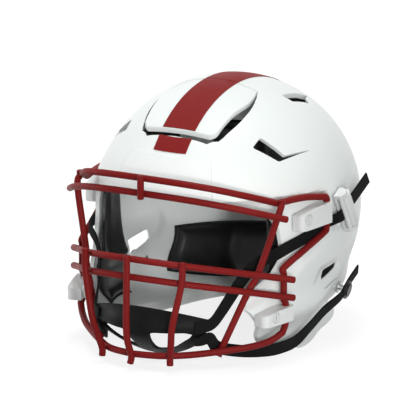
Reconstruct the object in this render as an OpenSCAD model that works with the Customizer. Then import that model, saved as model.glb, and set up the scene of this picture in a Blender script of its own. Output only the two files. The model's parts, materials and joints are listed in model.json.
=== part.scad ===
// Football helmet with a wire face mask, chin cup, straps and liner.
// X runs to the wearer's left, Y to the back, Z up, and the neck rim stands on Z = 0.

/* [Shell] */
// Height of the crown above the neck rim
shell_height = 244; // [236:1:256]
// Greatest width of the shell
shell_width = 242; // [234:1:252]
// Reach of the back from the ear line
shell_back = 144; // [138:1:152]
// Reach of the forehead from the ear line, above the brow
shell_front = 138; // [132:1:144]
// Height of the domed part above the widest level
dome_height = 124; // [118:1:130]
// Thickness of the shell's wall
wall = 4; // [3:0.25:4.5]
// How far the brow juts beyond the dome's own curve
brow_flare = 22; // [16:1:26]
// Height of the brow's edge at the middle
brow_edge_z = 163; // [159:1:167]
// Width of the neck rim at the table
rim_width = 192; // [184:1:198]
// Depth of the recess where the upper mask clips sit
pocket_depth = 6; // [4:0.5:7]
// Depth of the long crease above each ear hole
crease_depth = 3.5; // [2:0.5:5]
// Length of each ear hole with its ledge
ear_hole_length = 48; // [40:1:50]
// Height of each ear hole with its ledge
ear_hole_height = 20; // [17:1:22]

/* [Flex panel] */
// Width of the flexing crown panel at its root
panel_root_width = 79; // [70:1:86]
// Distance of the panel's front edge ahead of the ear line
panel_front = 91; // [88:1:92]
// Distance of the panel's root ahead of the ear line
panel_root = 11; // [8:1:16]
// Height by which the corners of the panel's free end stand proud of the shell
panel_raise = 5; // [3:0.25:6]
// Width of the centre stripe
stripe_width = 35; // [25:1:45]
// Thickness of the stripe's film
stripe_film = 0.4; // [0.3:0.1:0.8]

/* [Face mask] */
// Diameter of the coated mask wire
wire_d = 6.5; // [5.5:0.25:7]
// Reach of the cheek wires ahead of the ear line
mask_reach = 183; // [178:1:188]
// Distance of the cheek wires' tips inside the shell's greatest half width
mask_inset = 0.5; // [-3:0.5:2]
// Height of the upper cheek wire at the middle
cheek_wire_z = 108; // [102:1:112]
// Drop from the upper to the lower cheek wire
cheek_wire_pitch = 17.5; // [14:0.5:20]
// Height of the upper brow wire at the middle
brow_wire_z = 180; // [177:1:184]
// Drop from the upper to the lower brow wire
brow_wire_pitch = 15; // [13:0.5:18]
// Length of an upper mask clip
upper_clip_length = 45; // [40:1:48]
// Length of a lower mask clip
lower_clip_length = 40; // [36:1:42]
// Radius of the mask screws' shanks
screw_r = 2.4; // [2:0.1:2.8]

/* [Chin strap] */
// Width of the strap webbing
strap_width = 12; // [10:0.5:13]
// Thickness of the strap webbing
strap_thick = 1.8; // [1.2:0.1:2]
// Width of the chin cup
cup_width = 122; // [112:1:124]
// Thickness of the chin cup's plastic
cup_wall = 3; // [2:0.25:4]
// Length of the buckle lever along its pin
lever_length = 34; // [28:1:36]
// Radius of the buckle pin
buckle_pin_r = 1.5; // [1.2:0.1:1.8]

/* [Liner] */
// Thickness of the jaw pads
jaw_pad_thick = 11; // [8:0.5:13]
// Thickness of the neck roll pad
rear_pad_thick = 13; // [9:0.5:16]
// Thickness of the forehead, crown, side and back pads
liner_thick = 18; // [12:1:22]

/* [Hidden] */

// Points round one level of the shell's skin
ring_points = 36;
// Gap between parts that touch without being joined
seat_gap = 0.3;
// Depth by which flat facets may lie inside the curve that they follow
facet_sag = 0.8;
// Gap between wires that are welded side by side
weld_gap = 0.15;
// Distance between the centres of two lapped wires
lap = wire_d + weld_gap;
equator_z = shell_height - dome_height;
half_width = shell_width / 2;
// The origin lies midway between the mask's front and the back of the shell
origin_y = (shell_back - mask_reach - lap - wire_d / 2) / 2;

red = [0.5, 0.12, 0.12];
black = [0.07, 0.07, 0.07];
white = [0.95, 0.95, 0.94];

// Height, half width, back reach and front reach of the shell below its widest level
levels = [
    [-12, rim_width / 2 + 3, 152, 190],
    [0, rim_width / 2 - 4, 143, 196],
    [5, rim_width / 2 - 9.5, 136, 200],
    [13, rim_width / 2 - 12, 128, 206],
    [24, half_width - 31, 126, 210],
    [40, half_width - 14, 127, 212],
    [62, half_width - 11, 132, 208],
    [90, half_width - 3, shell_back - 3, 185],
    [equator_z, half_width, shell_back, shell_front + brow_flare]
];
// Height of the shell's middle at the panel's free end
panel_edge_z = equator_z + dome_height * sqrt(1 - pow(panel_front / shell_front, 2));
// Height above which the dome keeps its own curve in front
brow_top_z = panel_edge_z - 13;
// Share by which the neck is wider at the jaw and narrower at the nape, and where that fades out
neck_taper = 0.09;
neck_taper_z = 60;
function taper(y, z) =
    1 - neck_taper * (1 - ease(z / neck_taper_z)) * sin(min(max(2.2 * (y - 5), -90), 90));

function ease(t) = let (u = min(max(t, 0), 1)) u * u * (3 - 2 * u);
function mix(a, b, t) = a + (b - a) * t;
function unit(v) = v / norm(v);
function last(list) = list[len(list) - 1];

// Smooth curve through the rows of a table whose first column is the position
function row_slope(t, k, i) =
    (i == 0 || i == len(t) - 1) ? 0 : (t[i + 1][k] - t[i - 1][k]) / (t[i + 1][0] - t[i - 1][0]);
function row_index(t, p, i = 0) = (i >= len(t) - 2 || p <= t[i + 1][0]) ? i : row_index(t, p, i + 1);
function row_at(t, k, p) =
    let (i = row_index(t, p), h = t[i + 1][0] - t[i][0], s = (p - t[i][0]) / h)
    t[i][k] * (1 + 2 * s) * (1 - s) * (1 - s) + t[i + 1][k] * s * s * (3 - 2 * s)
    + h * row_slope(t, k, i) * s * (1 - s) * (1 - s) - h * row_slope(t, k, i + 1) * s * s * (1 - s);

// Half width, back reach and front reach of the skin that lies a given distance inside the shell
function dome_front(z) = shell_front + brow_flare * ease((brow_top_z - z) / (brow_top_z - equator_z));
function section(z, inset) =
    z <= equator_z
    ? [row_at(levels, 1, z) - inset, row_at(levels, 2, z) - inset, row_at(levels, 3, z) - inset]
    : let (c = sqrt(max(0, 1 - pow((z - equator_z) / (dome_height - inset), 2))))
      [(half_width - inset) * c, (shell_back - inset) * c, (dome_front(z) - inset) * c];

// Points of that skin, found from two of their coordinates
function side_x(y, z, inset) =
    let (s = section(z, inset), reach = y > 0 ? s[1] : s[2])
    taper(y, z) * s[0] * sqrt(max(0, 1 - pow(y / reach, 2)));
function on_side(y, z, inset) = [side_x(y, z, inset), y, z];
function on_front(x, z, inset) =
    let (s = section(z, inset)) [x, -s[2] * sqrt(max(0, 1 - pow(x / s[0], 2))), z];
function on_ring(turn, z, inset) =
    let (s = section(z, inset), y = (sin(turn) > 0 ? s[1] : s[2]) * sin(turn)) [taper(y, z) * s[0] * cos(turn), y, z];
function on_crown(x, y, inset) =
    let (reach = (y > 0 ? shell_back : shell_front) - inset,
         rest = 1 - pow(x / (half_width - inset), 2) - pow(y / reach, 2))
    [x, y, equator_z + (dome_height - inset) * sqrt(max(0, rest))];
function on_back(x, z, inset) =
    let (s = section(z, inset)) [x, s[1] * sqrt(max(0, 1 - pow(x / taper(s[1], z) / s[0], 2))), z];
function on_arch(x, rise, inset) =
    let (k = sqrt(1 - pow(x / (half_width - inset), 2)), reach = rise > 90 ? shell_front : shell_back)
    [x, k * (reach - inset) * cos(rise), equator_z + k * (dome_height - inset) * sin(rise)];

// Closed solid through a stack of rings that each have the same even number of points
module loft(rings) {
    n = len(rings[0]);
    top = (len(rings) - 1) * n;
    sides = [for (r = [0 : len(rings) - 2], i = [0 : n - 1])
        let (a = r * n + i, b = r * n + (i + 1) % n)
        each [[a, a + n, b + n], [a, b + n, b]]];
    caps = [for (i = [0 : n / 2 - 2])
        let (a = i, b = i + 1, c = n - 2 - i, d = n - 1 - i)
        each [[a, b, c], [a, c, d], [top + a, top + c, top + b], [top + a, top + d, top + c]]];
    polyhedron(points = [for (ring = rings) each ring], faces = concat(sides, caps));
}

// Closed solid between two grids of points, with rows upwards and columns to the right seen from outside
module slab(outer, inner) {
    cols = len(outer[0]);
    loft([for (r = [0 : len(outer) - 1])
        concat(outer[r], [for (c = [0 : cols - 1]) inner[r][cols - 1 - c]])]);
}

// Smooth path through chosen points, with some steps in each stretch
function knot(p, i) = p[min(max(i, 0), len(p) - 1)];
function spline(p, steps) = concat(
    [for (i = [0 : len(p) - 2], k = [0 : steps - 1])
        let (t = k / steps, a = knot(p, i - 1), b = knot(p, i), c = knot(p, i + 1), d = knot(p, i + 2))
        0.5 * (2 * b + (c - a) * t + (2 * a - 5 * b + 4 * c - d) * t * t + (3 * b - a - 3 * c + d) * t * t * t)],
    [last(p)]);
function tangent(path, i) = unit(knot(path, i + 1) - knot(path, i - 1));
function carried(path, first, i = 0) =
    i == len(path) ? []
    : let (t = tangent(path, i), n = unit(first - (first * t) * t)) concat([n], carried(path, n, i + 1));
function mirrored(path) = [for (p = path) [-p[0], p[1], p[2]]];
function reversed(path) = [for (i = [len(path) - 1 : -1 : 0]) path[i]];
// A path from the middle to the wearer's left, made into the whole width
function both_sides(path) = concat(reversed(mirrored([for (i = [1 : len(path) - 1]) path[i]])), path);

// Round wire along a path
wire_sides = 8;
module wire(path, start = [0, 0, 1]) {
    normals = carried(path, start);
    loft([for (i = [0 : len(path) - 1])
        let (n = normals[i], b = cross(tangent(path, i), n))
        [for (k = [0 : wire_sides - 1])
            let (a = 360 * (k + 0.5) / wire_sides)
            path[i] + wire_d / 2 * (cos(a) * n + sin(a) * b)]]);
}

// Flat strap through stations that each give a point and the direction that its face looks in
module strap(stations, steps) {
    path = spline([for (s = stations) s[0]], steps);
    faces = spline([for (s = stations) s[1]], steps);
    loft([for (i = [0 : len(path) - 1])
        let (t = tangent(path, i), b = unit(faces[i] - (faces[i] * t) * t), a = cross(b, t))
        [for (c = [[1, 1], [-1, 1], [-1, -1], [1, -1]])
            path[i] + c[0] * strap_width / 2 * a + c[1] * strap_thick / 2 * b]]);
}

module flip(right) {
    if (right) mirror([1, 0, 0]) children();
    else children();
}
module place() { translate([0, -origin_y, 0]) children(); }

// Solid of the shell's outside, moved inwards
skirt_levels = [-11, 0, 3, 7, 12, 17, 24];
side_steps = 8;
dome_rises = [for (a = [9 : 9 : 81]) a];
cap_rise = 86;
module skin(inset) {
    heights = concat(skirt_levels,
        [for (i = [1 : side_steps]) mix(last(skirt_levels), equator_z, i / side_steps)],
        [for (a = concat(dome_rises, [cap_rise])) equator_z + (dome_height - inset) * sin(a)]);
    loft([for (z = heights) [for (i = [0 : ring_points - 1]) on_ring(360 * i / ring_points, z, inset)]]);
}

// Prism across the whole width of the helmet from an outline in Y and Z
across = 400;
module side_prism(outline, grow = 0) {
    translate([-across / 2, 0, 0]) rotate([90, 0, 90])
        linear_extrude(across) offset(delta = grow) polygon(outline);
}

// Outline of the clip recess, between the dome and the jaw
pocket_outline = [
    [-130, 156], [-48, 155], [-14, 152], [-8, 140], [10, 114],
    [6, 109], [-27, 102], [-60, 91], [-80, 81], [-130, 60]
];
crease_outline = [[-50, 89], [-22, 95], [50, 95], [46, 86], [-25, 82], [-48, 78]];

module form(inset) {
    difference() {
        skin(inset);
        difference() {
            side_prism(pocket_outline, inset);
            skin(inset + pocket_depth);
        }
        difference() {
            side_prism(crease_outline, inset);
            skin(inset + crease_depth);
        }
    }
}

// Side view of the face opening: brow, temple, jaw flap and the step down to the neck rim
brow_slope = 0.375;
opening_outline = [
    [-300, -30], [-300, 300], [-150, brow_edge_z + 10 * brow_slope],
    [-100, brow_edge_z - 40 * brow_slope], [-82, 138], [-75, 124], [-73, 110], [-74, 96], [-83, 84],
    [-102, 71], [-112, 62], [-117, 54], [-109, 44], [-88, 20], [-82, 14], [-66, 9], [-46, 7], [-38, 5],
    [-34, 0], [-34, -30]
];

// Frame on the shell's side: X out of the surface, Y to the rear, Z up, turned by a lean
function side_normal(y, z, level) =
    let (d = 0.5, dy = side_x(y + d, z, 0) - side_x(y - d, z, 0), dz = side_x(y, z + d, 0) - side_x(y, z - d, 0))
    unit([2 * d, -dy, level ? 0 : -dz]);
function side_frame(y, z, lean, level) =
    let (n = side_normal(y, z, level), b = unit([0, 0, 1] - n[2] * n), s = cross(b, n))
    [n, cos(lean) * s + sin(lean) * b, cos(lean) * b - sin(lean) * s];
module in_frame(p, f) {
    multmatrix([
        [f[0][0], f[1][0], f[2][0], p[0]],
        [f[0][1], f[1][1], f[2][1], p[1]],
        [f[0][2], f[1][2], f[2][2], p[2]]
    ]) children();
}
module on_shell(y, z, lean = 0, level = false) {
    in_frame(on_side(y, z, 0), side_frame(y, z, lean, level)) children();
}
module along_x(length, r) { rotate([0, 90, 0]) cylinder(h = length, r = r, $fn = 32); }

// Cut through the wall along the normal of a frame on the side, from an outline in that frame
cut_depth = 30;
module side_cut(outline) { rotate([90, 0, 90]) linear_extrude(cut_depth, center = true) polygon(outline); }

// Vents and the ear hole on the wearer's left
vent_y = -52;
vent_z = 196;
ear_y = 17;
ear_z = 65;
// Depth of the ledge round the lower and rear edge of the ear hole
ledge_depth = 2.2;
// Side vents towards the crown, as outlines seen from above
crown_vent = [[54, 10], [53, 61], [60.5, 43], [66.5, 40], [63.5, 14]];
module left_openings() {
    long = ear_hole_length / 2;
    high = ear_hole_height / 2;
    on_shell(vent_y, vent_z) side_cut([[-24, 6], [-12, 14.5], [6, -8], [39, -5], [-3, -13]]);
    translate([0, 0, equator_z + dome_height / 2]) linear_extrude(dome_height) polygon(crown_vent);
    on_shell(ear_y, ear_z) side_cut([
        [-long, 0.5 * high], [0.3 * long, 0.84 * high], [0.28 * long, 0.1 * high], [-0.9 * long, -0.58 * high]
    ]);
    on_shell(ear_y, ear_z) translate([cut_depth / 2 - ledge_depth, 0, 0]) side_cut([
        [-long, 0.5 * high], [0.3 * long, 0.84 * high], [0.62 * long, 0.95 * high], [long, 0.1 * high],
        [long, -0.1 * high], [-0.81 * long, -high], [-0.98 * long, -0.55 * high]
    ]);
}
module back_openings() {
    for (x = [-34, 34])
        translate([x, 100, 196]) rotate([-50, 0, 0]) hull() {
            for (s = [-1, 1]) translate([9 * s, 0, 0]) cylinder(h = 60, r = 3.5, center = true, $fn = 16);
        }
}

// Half width of the panel beyond its root's and the gap round it, from root (0) to free end (1)
panel_rows = [
    [0, 0, 0.5], [0.12, 2.5, 2.2], [0.36, 5.5, 4.2], [0.64, 3, 6.4], [0.84, 1, 4.5], [0.96, -1, 3], [1, -6, 3]
];
panel_front_gap = 6.5;
panel_root_gap = 0.5;
function panel_half(t) = panel_root_width / 2 + row_at(panel_rows, 1, t);
function panel_gap(t) = row_at(panel_rows, 2, t);
function panel_y(t) = mix(-panel_root, -panel_front, t);
// The panel is flatter than the dome, so its corners lift off the dome towards the free end
function panel_lift(x, y) =
    panel_raise * ease(-(y + panel_root) / (panel_front - panel_root) / 0.9) * pow(2 * x / panel_root_width, 2);
function on_panel(x, y, inset) = on_crown(x, y, inset - panel_lift(x, y));
module panel_opening() {
    side = [for (t = [0, 0.12, 0.24, 0.36, 0.5, 0.64, 0.74, 0.84, 0.96, 1]) [panel_half(t) + panel_gap(t), panel_y(t)]];
    front = [[last(side)[0] - 4, -panel_front - 4], [12, -panel_front - panel_front_gap]];
    half = concat([[side[0][0], panel_root_gap - panel_root]], side, front);
    translate([0, 0, equator_z + 30]) linear_extrude(dome_height)
        polygon(concat(half, reversed([for (p = half) [-p[0], p[1]]])));
}

// Mask clips: place on the side, clip height and thickness, and the depth of the surface that they sit on
upper_clip = [-40, 132.5, 21, 13.5, pocket_depth];
lower_clip = [-93, 46.5, 16, 15, 0];
upper_leg_y = -19.5;
lower_leg_y = -80.5;
// Distance of the held wire's centre from the surface under the clip
upper_standoff = seat_gap * 4 + strap_thick + wire_d / 2;
lower_standoff = 8;
upper_screw_s = -13;
lower_screw_s = -5;
function leg_place(clip, y, standoff) = on_side(y, clip[1], clip[4]) + [standoff, 0, 0];
upper_leg = leg_place(upper_clip, upper_leg_y, upper_standoff);
lower_leg = leg_place(lower_clip, lower_leg_y, lower_standoff);

function clip_frame(clip) = side_frame(clip[0], clip[1], 0, true);
function clip_place(clip) = on_side(clip[0], clip[1], clip[4]);
// Plane that clears the curved surface under the clip
function seat_plane(clip, length) =
    let (f = clip_frame(clip), p = clip_place(clip))
    seat_gap + max([for (s = [-1 : 0.25 : 1], h = [-1, 0, 1])
        (on_side(clip[0] + s * length / 2, clip[1] + h * clip[2] / 2, clip[4]) - p) * f[0]]);
nut_flange_r = 7;
nut_flange = 2;
nut_barrel_r = 4.2;
screw_head_r = 4.6;
screw_head = 2.6;
// Plane inside the shell that clears its inner face round a nut
function nut_plane(clip, s) =
    let (f = clip_frame(clip), p = clip_place(clip), c = p + s * f[1])
    min([for (a = [0 : 45 : 315])
        let (q = c + nut_flange_r * (cos(a) * f[1] + sin(a) * [0, 0, 1]))
        (on_side(q[1], q[2], clip[4] + wall) - p) * f[0]]) - 1.6 * facet_sag;

module mask_clip(clip, length, leg, screw_s) {
    f = clip_frame(clip);
    p = clip_place(clip);
    seat = seat_plane(clip, length);
    leg_n = (leg - p) * f[0];
    leg_s = (leg - p) * f[1];
    nose_r = clip[3] / 2 - 1;
    height = clip[2];
    slot = wire_d + 2 * seat_gap;
    in_frame(p, f) difference() {
        intersection() {
            translate([0, 0, -height / 2]) linear_extrude(height) polygon(concat(
                [[seat, -length / 2]],
                [for (a = [-90 : 10 : 0]) [clip[3] - nose_r, nose_r - length / 2] + nose_r * [cos(a), sin(a)]],
                [[clip[3], length / 2 - 2], [clip[3] - 2, length / 2], [seat, length / 2]]
            ));
            rotate([90, 0, 90]) linear_extrude(clip[3] * 3, center = true) polygon([
                [length / 2, -0.42 * height], [length / 2, height / 2], [0, 0.4 * height],
                [-length / 2, 0.2 * height], [-length / 2, -height / 2], [-length / 4, -height / 2]
            ]);
        }
        translate([leg_n, leg_s, -height]) cylinder(h = 2 * height, r = slot / 2, $fn = 48);
        translate([seat - 5, leg_s - slot / 2, -height]) cube([leg_n - seat + 5, slot, 2 * height]);
        translate([seat - 5, screw_s, 0]) along_x(clip[3] + 5, screw_r + 0.2);
        translate([clip[3] - screw_head - 0.4, screw_s, 0]) along_x(clip[3], screw_head_r + 0.4);
    }
}
module mask_screw(clip, screw_s) {
    head_n = clip[3] - screw_head - 0.2;
    end_n = nut_plane(clip, screw_s) - nut_flange;
    in_frame(clip_place(clip), clip_frame(clip)) translate([0, screw_s, 0]) difference() {
        union() {
            translate([head_n, 0, 0]) along_x(screw_head, screw_head_r);
            translate([end_n, 0, 0]) along_x(head_n - end_n + 0.5, screw_r);
        }
        translate([head_n + screw_head - 1.4, -0.5, -3.2]) cube([3, 1, 6.4]);
    }
}
module mask_nut(clip, screw_s) {
    plane = nut_plane(clip, screw_s);
    in_frame(clip_place(clip), clip_frame(clip)) translate([0, screw_s, 0]) difference() {
        union() {
            translate([plane - nut_flange, 0, 0]) along_x(nut_flange, nut_flange_r);
            translate([plane - 0.5, 0, 0]) along_x(wall * 0.6 + 0.5, nut_barrel_r);
        }
        translate([plane - nut_flange - 1, 0, 0]) along_x(wall + nut_flange + 4, screw_r + 0.08);
    }
}
module clip_hole(clip, screw_s) {
    in_frame(clip_place(clip), clip_frame(clip))
        translate([-25, screw_s, 0]) along_x(50, nut_barrel_r + seat_gap);
}

// Snap studs: upper under the cam buckle, lower behind the ear hole
buckle_at = [3, 129.5];
buckle_lean = 25;
snap_at = [26, 47];
snap_lean = 27;
stud_base = 0.8;
stud_post_r = 3;
stud_flange_r = 6;
stud_shank_r = 2;
snap_standoff = 6;
module strap_stud(reach) {
    translate([stud_base, 0, 0]) along_x(1.2, stud_flange_r);
    translate([stud_base + 1, 0, 0]) along_x(reach - stud_base - 1, stud_post_r);
    translate([0.5 - wall, 0, 0]) along_x(wall + 0.8, stud_shank_r);
}
module stud_hole() { translate([-cut_depth / 2, 0, 0]) along_x(cut_depth, stud_shank_r + seat_gap); }

module shell() {
    color(white) place() difference() {
        form(0);
        form(wall);
        side_prism(opening_outline);
        translate([-200, -300, -40]) cube([400, 600, 40]);
        panel_opening();
        for (right = [false, true]) flip(right) {
            left_openings();
            clip_hole(upper_clip, upper_screw_s);
            clip_hole(lower_clip, lower_screw_s);
            on_shell(buckle_at[0], buckle_at[1], buckle_lean) stud_hole();
            on_shell(snap_at[0], snap_at[1], snap_lean) stud_hole();
        }
        back_openings();
    }
}

panel_cols = 8;
module flex_panel() {
    steps = [1, 0.97, 0.93, 0.87, 0.78, 0.66, 0.54, 0.42, 0.3, 0.18, 0.08, 0];
    grid = function (inset) [for (t = steps) [for (c = [0 : panel_cols])
        on_panel(mix(-1, 1, c / panel_cols) * panel_half(t), panel_y(t), inset)]];
    color(white) place() slab(grid(0), grid(wall));
}

// Soft bumper over the middle of the brow, wider and thicker at its lower edge
bumper_thick = 2.8;
bumper_top_thick = 1;
bumper_top_z = panel_edge_z - 21;
bumper_cols = 10;
bumper_rows = 4;
module brow_bumper() {
    grid = function (inset) [for (r = [0 : bumper_rows]) [for (c = [0 : bumper_cols])
        let (v = r / bumper_rows, x = mix(-1, 1, c / bumper_cols) * mix(0.48, 0.35, v) * half_width,
             foot = on_front(x, brow_edge_z, 0), low = brow_edge_z - 1.5 - brow_slope * (foot[1] + 140))
        on_front(x, mix(low, bumper_top_z, v), inset(v))]];
    color(white) place() slab(grid(function (v) -mix(bumper_thick, bumper_top_thick, v)), grid(function (v) -seat_gap));
}

stripe_cols = 4;
function stripe_x(c) = mix(-0.5, 0.5, c / stripe_cols) * stripe_width;
film_gap = 0.2;
module stripe_front() {
    grid = function (inset) [for (drop = [18 : -4 : 6]) [for (c = [0 : stripe_cols])
        on_front(stripe_x(c), panel_edge_z - drop, inset)]];
    color(red) place() slab(grid(-film_gap - stripe_film), grid(-film_gap));
}
module stripe_panel() {
    grid = function (inset) [for (t = [0.995, 0.87, 0.78, 0.66, 0.54, 0.42, 0.3, 0.18, 0.08, 0])
        [for (c = [0 : stripe_cols]) on_panel(stripe_x(c), panel_y(t), inset)]];
    color(red) place() slab(grid(-film_gap - stripe_film), grid(-film_gap));
}
module stripe_rear() {
    grid = function (inset) concat(
        [for (z = [36 : 12 : 108]) [for (c = [0 : stripe_cols]) on_back(-stripe_x(c), z, inset)]],
        [for (rise = [0 : 4.5 : 90]) [for (c = [0 : stripe_cols]) on_arch(-stripe_x(c), rise, inset)]],
        [[for (c = [0 : stripe_cols]) on_arch(-stripe_x(c), 90 + panel_root * 0.38, inset)]]);
    color(red) place() slab(grid(-film_gap - stripe_film), grid(-film_gap));
}

// Height of a point on a wire whose plane rises towards the front
function tilted(p, z, reach, tilt) = [p[0], p[1], z - tilt * (p[1] + reach)];
hoop_steps = 3;
mask_half = half_width - mask_inset;
tip_y = -81.5;
function cheek_path(z) = both_sides(spline([for (p = [
    [0, -mask_reach], [0.224 * mask_half, 3 - mask_reach], [0.407 * mask_half, 13 - mask_reach],
    [0.62 * mask_half, 40 - mask_reach], [0.822 * mask_half, 75 - mask_reach], [mask_half, tip_y]
]) tilted(p, z, mask_reach, 0.275)], hoop_steps));
cheek_upper_path = cheek_path(cheek_wire_z);
cheek_lower_path = cheek_path(cheek_wire_z - cheek_wire_pitch);

brow_reach = 156;
brow_tilt = 0.38;
brow_lower_path = both_sides(spline([for (p = [
    [0, -brow_reach], [0.33 * mask_half, 2 - brow_reach], [0.57 * mask_half, 12 - brow_reach],
    [0.785 * mask_half, 33 - brow_reach], [mask_half - 2, -92]
]) tilted(p, brow_wire_z - brow_wire_pitch, brow_reach, brow_tilt)], hoop_steps));
// The upper brow wire runs back over the temples and down through the upper clips
temple_x = 0.862 * mask_half;
brow_upper_half = concat(
    spline([for (p = [
        [0, -brow_reach], [0.33 * mask_half, 3 - brow_reach], [0.56 * mask_half, 13 - brow_reach],
        [0.706 * mask_half, 33 - brow_reach], [temple_x - 6, 54 - brow_reach], [temple_x, -85]
    ]) tilted(p, brow_wire_z, brow_reach, brow_tilt)], hoop_steps),
    [mix([temple_x, -85, brow_wire_z - 27], upper_leg, 0.5) + [0, 0, 9.5], upper_leg + [0, -7, 16], upper_leg + [0, -1.5, 14],
     upper_leg + [0, 0, 10.5], upper_leg]);
brow_upper_path = both_sides(brow_upper_half);

jaw_wire_z = 14;
jaw_reach = mask_reach - 7;
jaw_path = both_sides(concat(
    spline([[0, -jaw_reach, jaw_wire_z], [28, 7 - jaw_reach, jaw_wire_z], [52, 27 - jaw_reach, jaw_wire_z],
        [0.697 * mask_half, -118, 17],
        [0.838 * mask_half, -98, 21], lower_leg + [0, -6, -18]], hoop_steps),
    [lower_leg + [0, -1, -12], lower_leg + [0, 0, -8], lower_leg + [0, 0, -0.1]]));

// Place on a hoop where it passes a given half width, moved off it by a distance (inwards is positive)
function pass_index(path, x, i) = path[i + 1][0] >= x ? i : pass_index(path, x, i + 1);
function beside(path, x, off) =
    let (i = pass_index(path, x, floor(len(path) / 2)), a = path[i], b = path[i + 1],
         t = (x - a[0]) / (b[0] - a[0]), d = unit([b[0] - a[0], b[1] - a[1], 0]))
    mix(a, b, t) + off * [-d[1], d[0], 0];
rise = [0, 0, 1];

link_path = [for (h = [4, -4 - brow_wire_pitch]) [0, -brow_reach - lap, brow_wire_z + h]];
centre_path = [
    beside(cheek_upper_path, 0, -lap) + 5 * rise, beside(cheek_lower_path, 0, -lap),
    [0, -mask_reach - lap, 48], [0, -mask_reach - lap + 2, 30], beside(jaw_path, 0, -lap),
    [0, -jaw_reach - lap, 6], [0, -jaw_reach - lap, 0]
];
front_foot = beside(jaw_path, 33, -lap);
front_path = [
    beside(cheek_upper_path, 48.8, -lap) + 5 * rise, beside(cheek_upper_path, 48.8, -lap),
    beside(cheek_lower_path, 48, -lap), [44, 4 - mask_reach, 48], [40, 8 - mask_reach, 28], front_foot,
    [front_foot[0], front_foot[1], 6], [front_foot[0], front_foot[1], 0]
];
side_foot = beside(jaw_path, 71, lap);
side_path = [
    beside(brow_upper_path, temple_x - 0.3, -lap) + 5 * rise, beside(brow_upper_path, temple_x - 0.3, -lap),
    beside(brow_lower_path, mask_half - 6, lap), beside(cheek_upper_path, 0.822 * mask_half, lap),
    beside(cheek_lower_path, 0.776 * mask_half, lap), side_foot, side_foot - 5 * rise + [-1.5, -1, 0]
];
function beside_pocket(y, z, extra) = on_side(y, z, pocket_depth) + [upper_standoff + extra, 0, 0];
outer_path = [
    upper_leg - 0.1 * rise, upper_leg - 11 * rise, beside_pocket(-22, 117, 0.6), beside_pocket(-26, 113.5, 0.8),
    beside_pocket(-56, 101.5, 1.2), beside(cheek_upper_path, mask_half - 5.5, lap) + 9 * rise,
    beside(cheek_upper_path, mask_half - 5.5, lap) + 3 * rise,
    beside(cheek_lower_path, mask_half - 5.5, lap), beside(cheek_lower_path, mask_half - 5.5, lap) - 4 * rise,
    lower_leg + [0, -0.8, 10.5], lower_leg + 8 * rise, lower_leg
];

module brow_wire_upper() { color(red) place() wire(brow_upper_path, [1, 0, 0]); }
module brow_wire_lower() { color(red) place() wire(brow_lower_path); }
module brow_link() { color(red) place() wire(link_path, [1, 0, 0]); }
module cheek_wire_upper() { color(red) place() wire(cheek_upper_path); }
module cheek_wire_lower() { color(red) place() wire(cheek_lower_path); }
module jaw_wire() { color(red) place() wire(jaw_path, [1, 0, 0]); }
module centre_wire() { color(red) place() wire(centre_path, [1, 0, 0]); }
module front_wire(right) { color(red) place() flip(right) wire(front_path, [1, 0, 0]); }
module side_wire(right) { color(red) place() flip(right) wire(side_path, [1, 0, 0]); }
module outer_wire(right) { color(red) place() flip(right) wire(outer_path, [1, 0, 0]); }

module mask_clip_upper(right) {
    color(white) place() flip(right) mask_clip(upper_clip, upper_clip_length, upper_leg, upper_screw_s);
}
module mask_clip_lower(right) {
    color(white) place() flip(right) mask_clip(lower_clip, lower_clip_length, lower_leg, lower_screw_s);
}
module mask_clip_screws() {
    color("silver") place() for (right = [false, true]) flip(right) {
        mask_screw(upper_clip, upper_screw_s);
        mask_screw(lower_clip, lower_screw_s);
    }
}
module mask_clip_nuts() {
    color("silver") place() for (right = [false, true]) flip(right) {
        mask_nut(upper_clip, upper_screw_s);
        mask_nut(lower_clip, lower_screw_s);
    }
}

// Chin cup: a curve through three edges, with s across from -1 to 1 and t from top (0) to bottom (1)
cup_half = cup_width / 2;
function cup_top(s) = [cup_half * s, -162 + 22 * s * s, 57 - 10 * s * s];
function cup_mid(s) = [(cup_half - 1) * s, -169 + 27 * s * s, 31 + 5 * s * s];
function cup_low(s) = [(cup_half - 7) * s, -132 - 9 * s * s, 5 + 20 * s * s];
function cup_at(s, t) =
    cup_top(s) * (2 * t - 1) * (t - 1) + cup_mid(s) * 4 * t * (1 - t) + cup_low(s) * t * (2 * t - 1);
function cup_normal(s, t) =
    let (d = 0.02) unit(cross(cup_at(s, t + d) - cup_at(s, t - d), cup_at(s + d, t) - cup_at(s - d, t)));
// Inside is towards the chin, so depth is measured against the outward normal
function cup_deep(s, t, depth) = cup_at(s, t) - depth * cup_normal(s, t);
cup_cols = 16;
cup_rows = 8;
module cup_slab(reach_s, t0, t1, outer, inner) {
    grid = function (depth) [for (r = [0 : cup_rows]) [for (c = [0 : cup_cols])
        let (s = mix(-reach_s, reach_s, c / cup_cols), t = mix(t1, t0, r / cup_rows))
        cup_deep(s, t, depth(s, t))]];
    slab(grid(outer), grid(inner));
}
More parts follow.
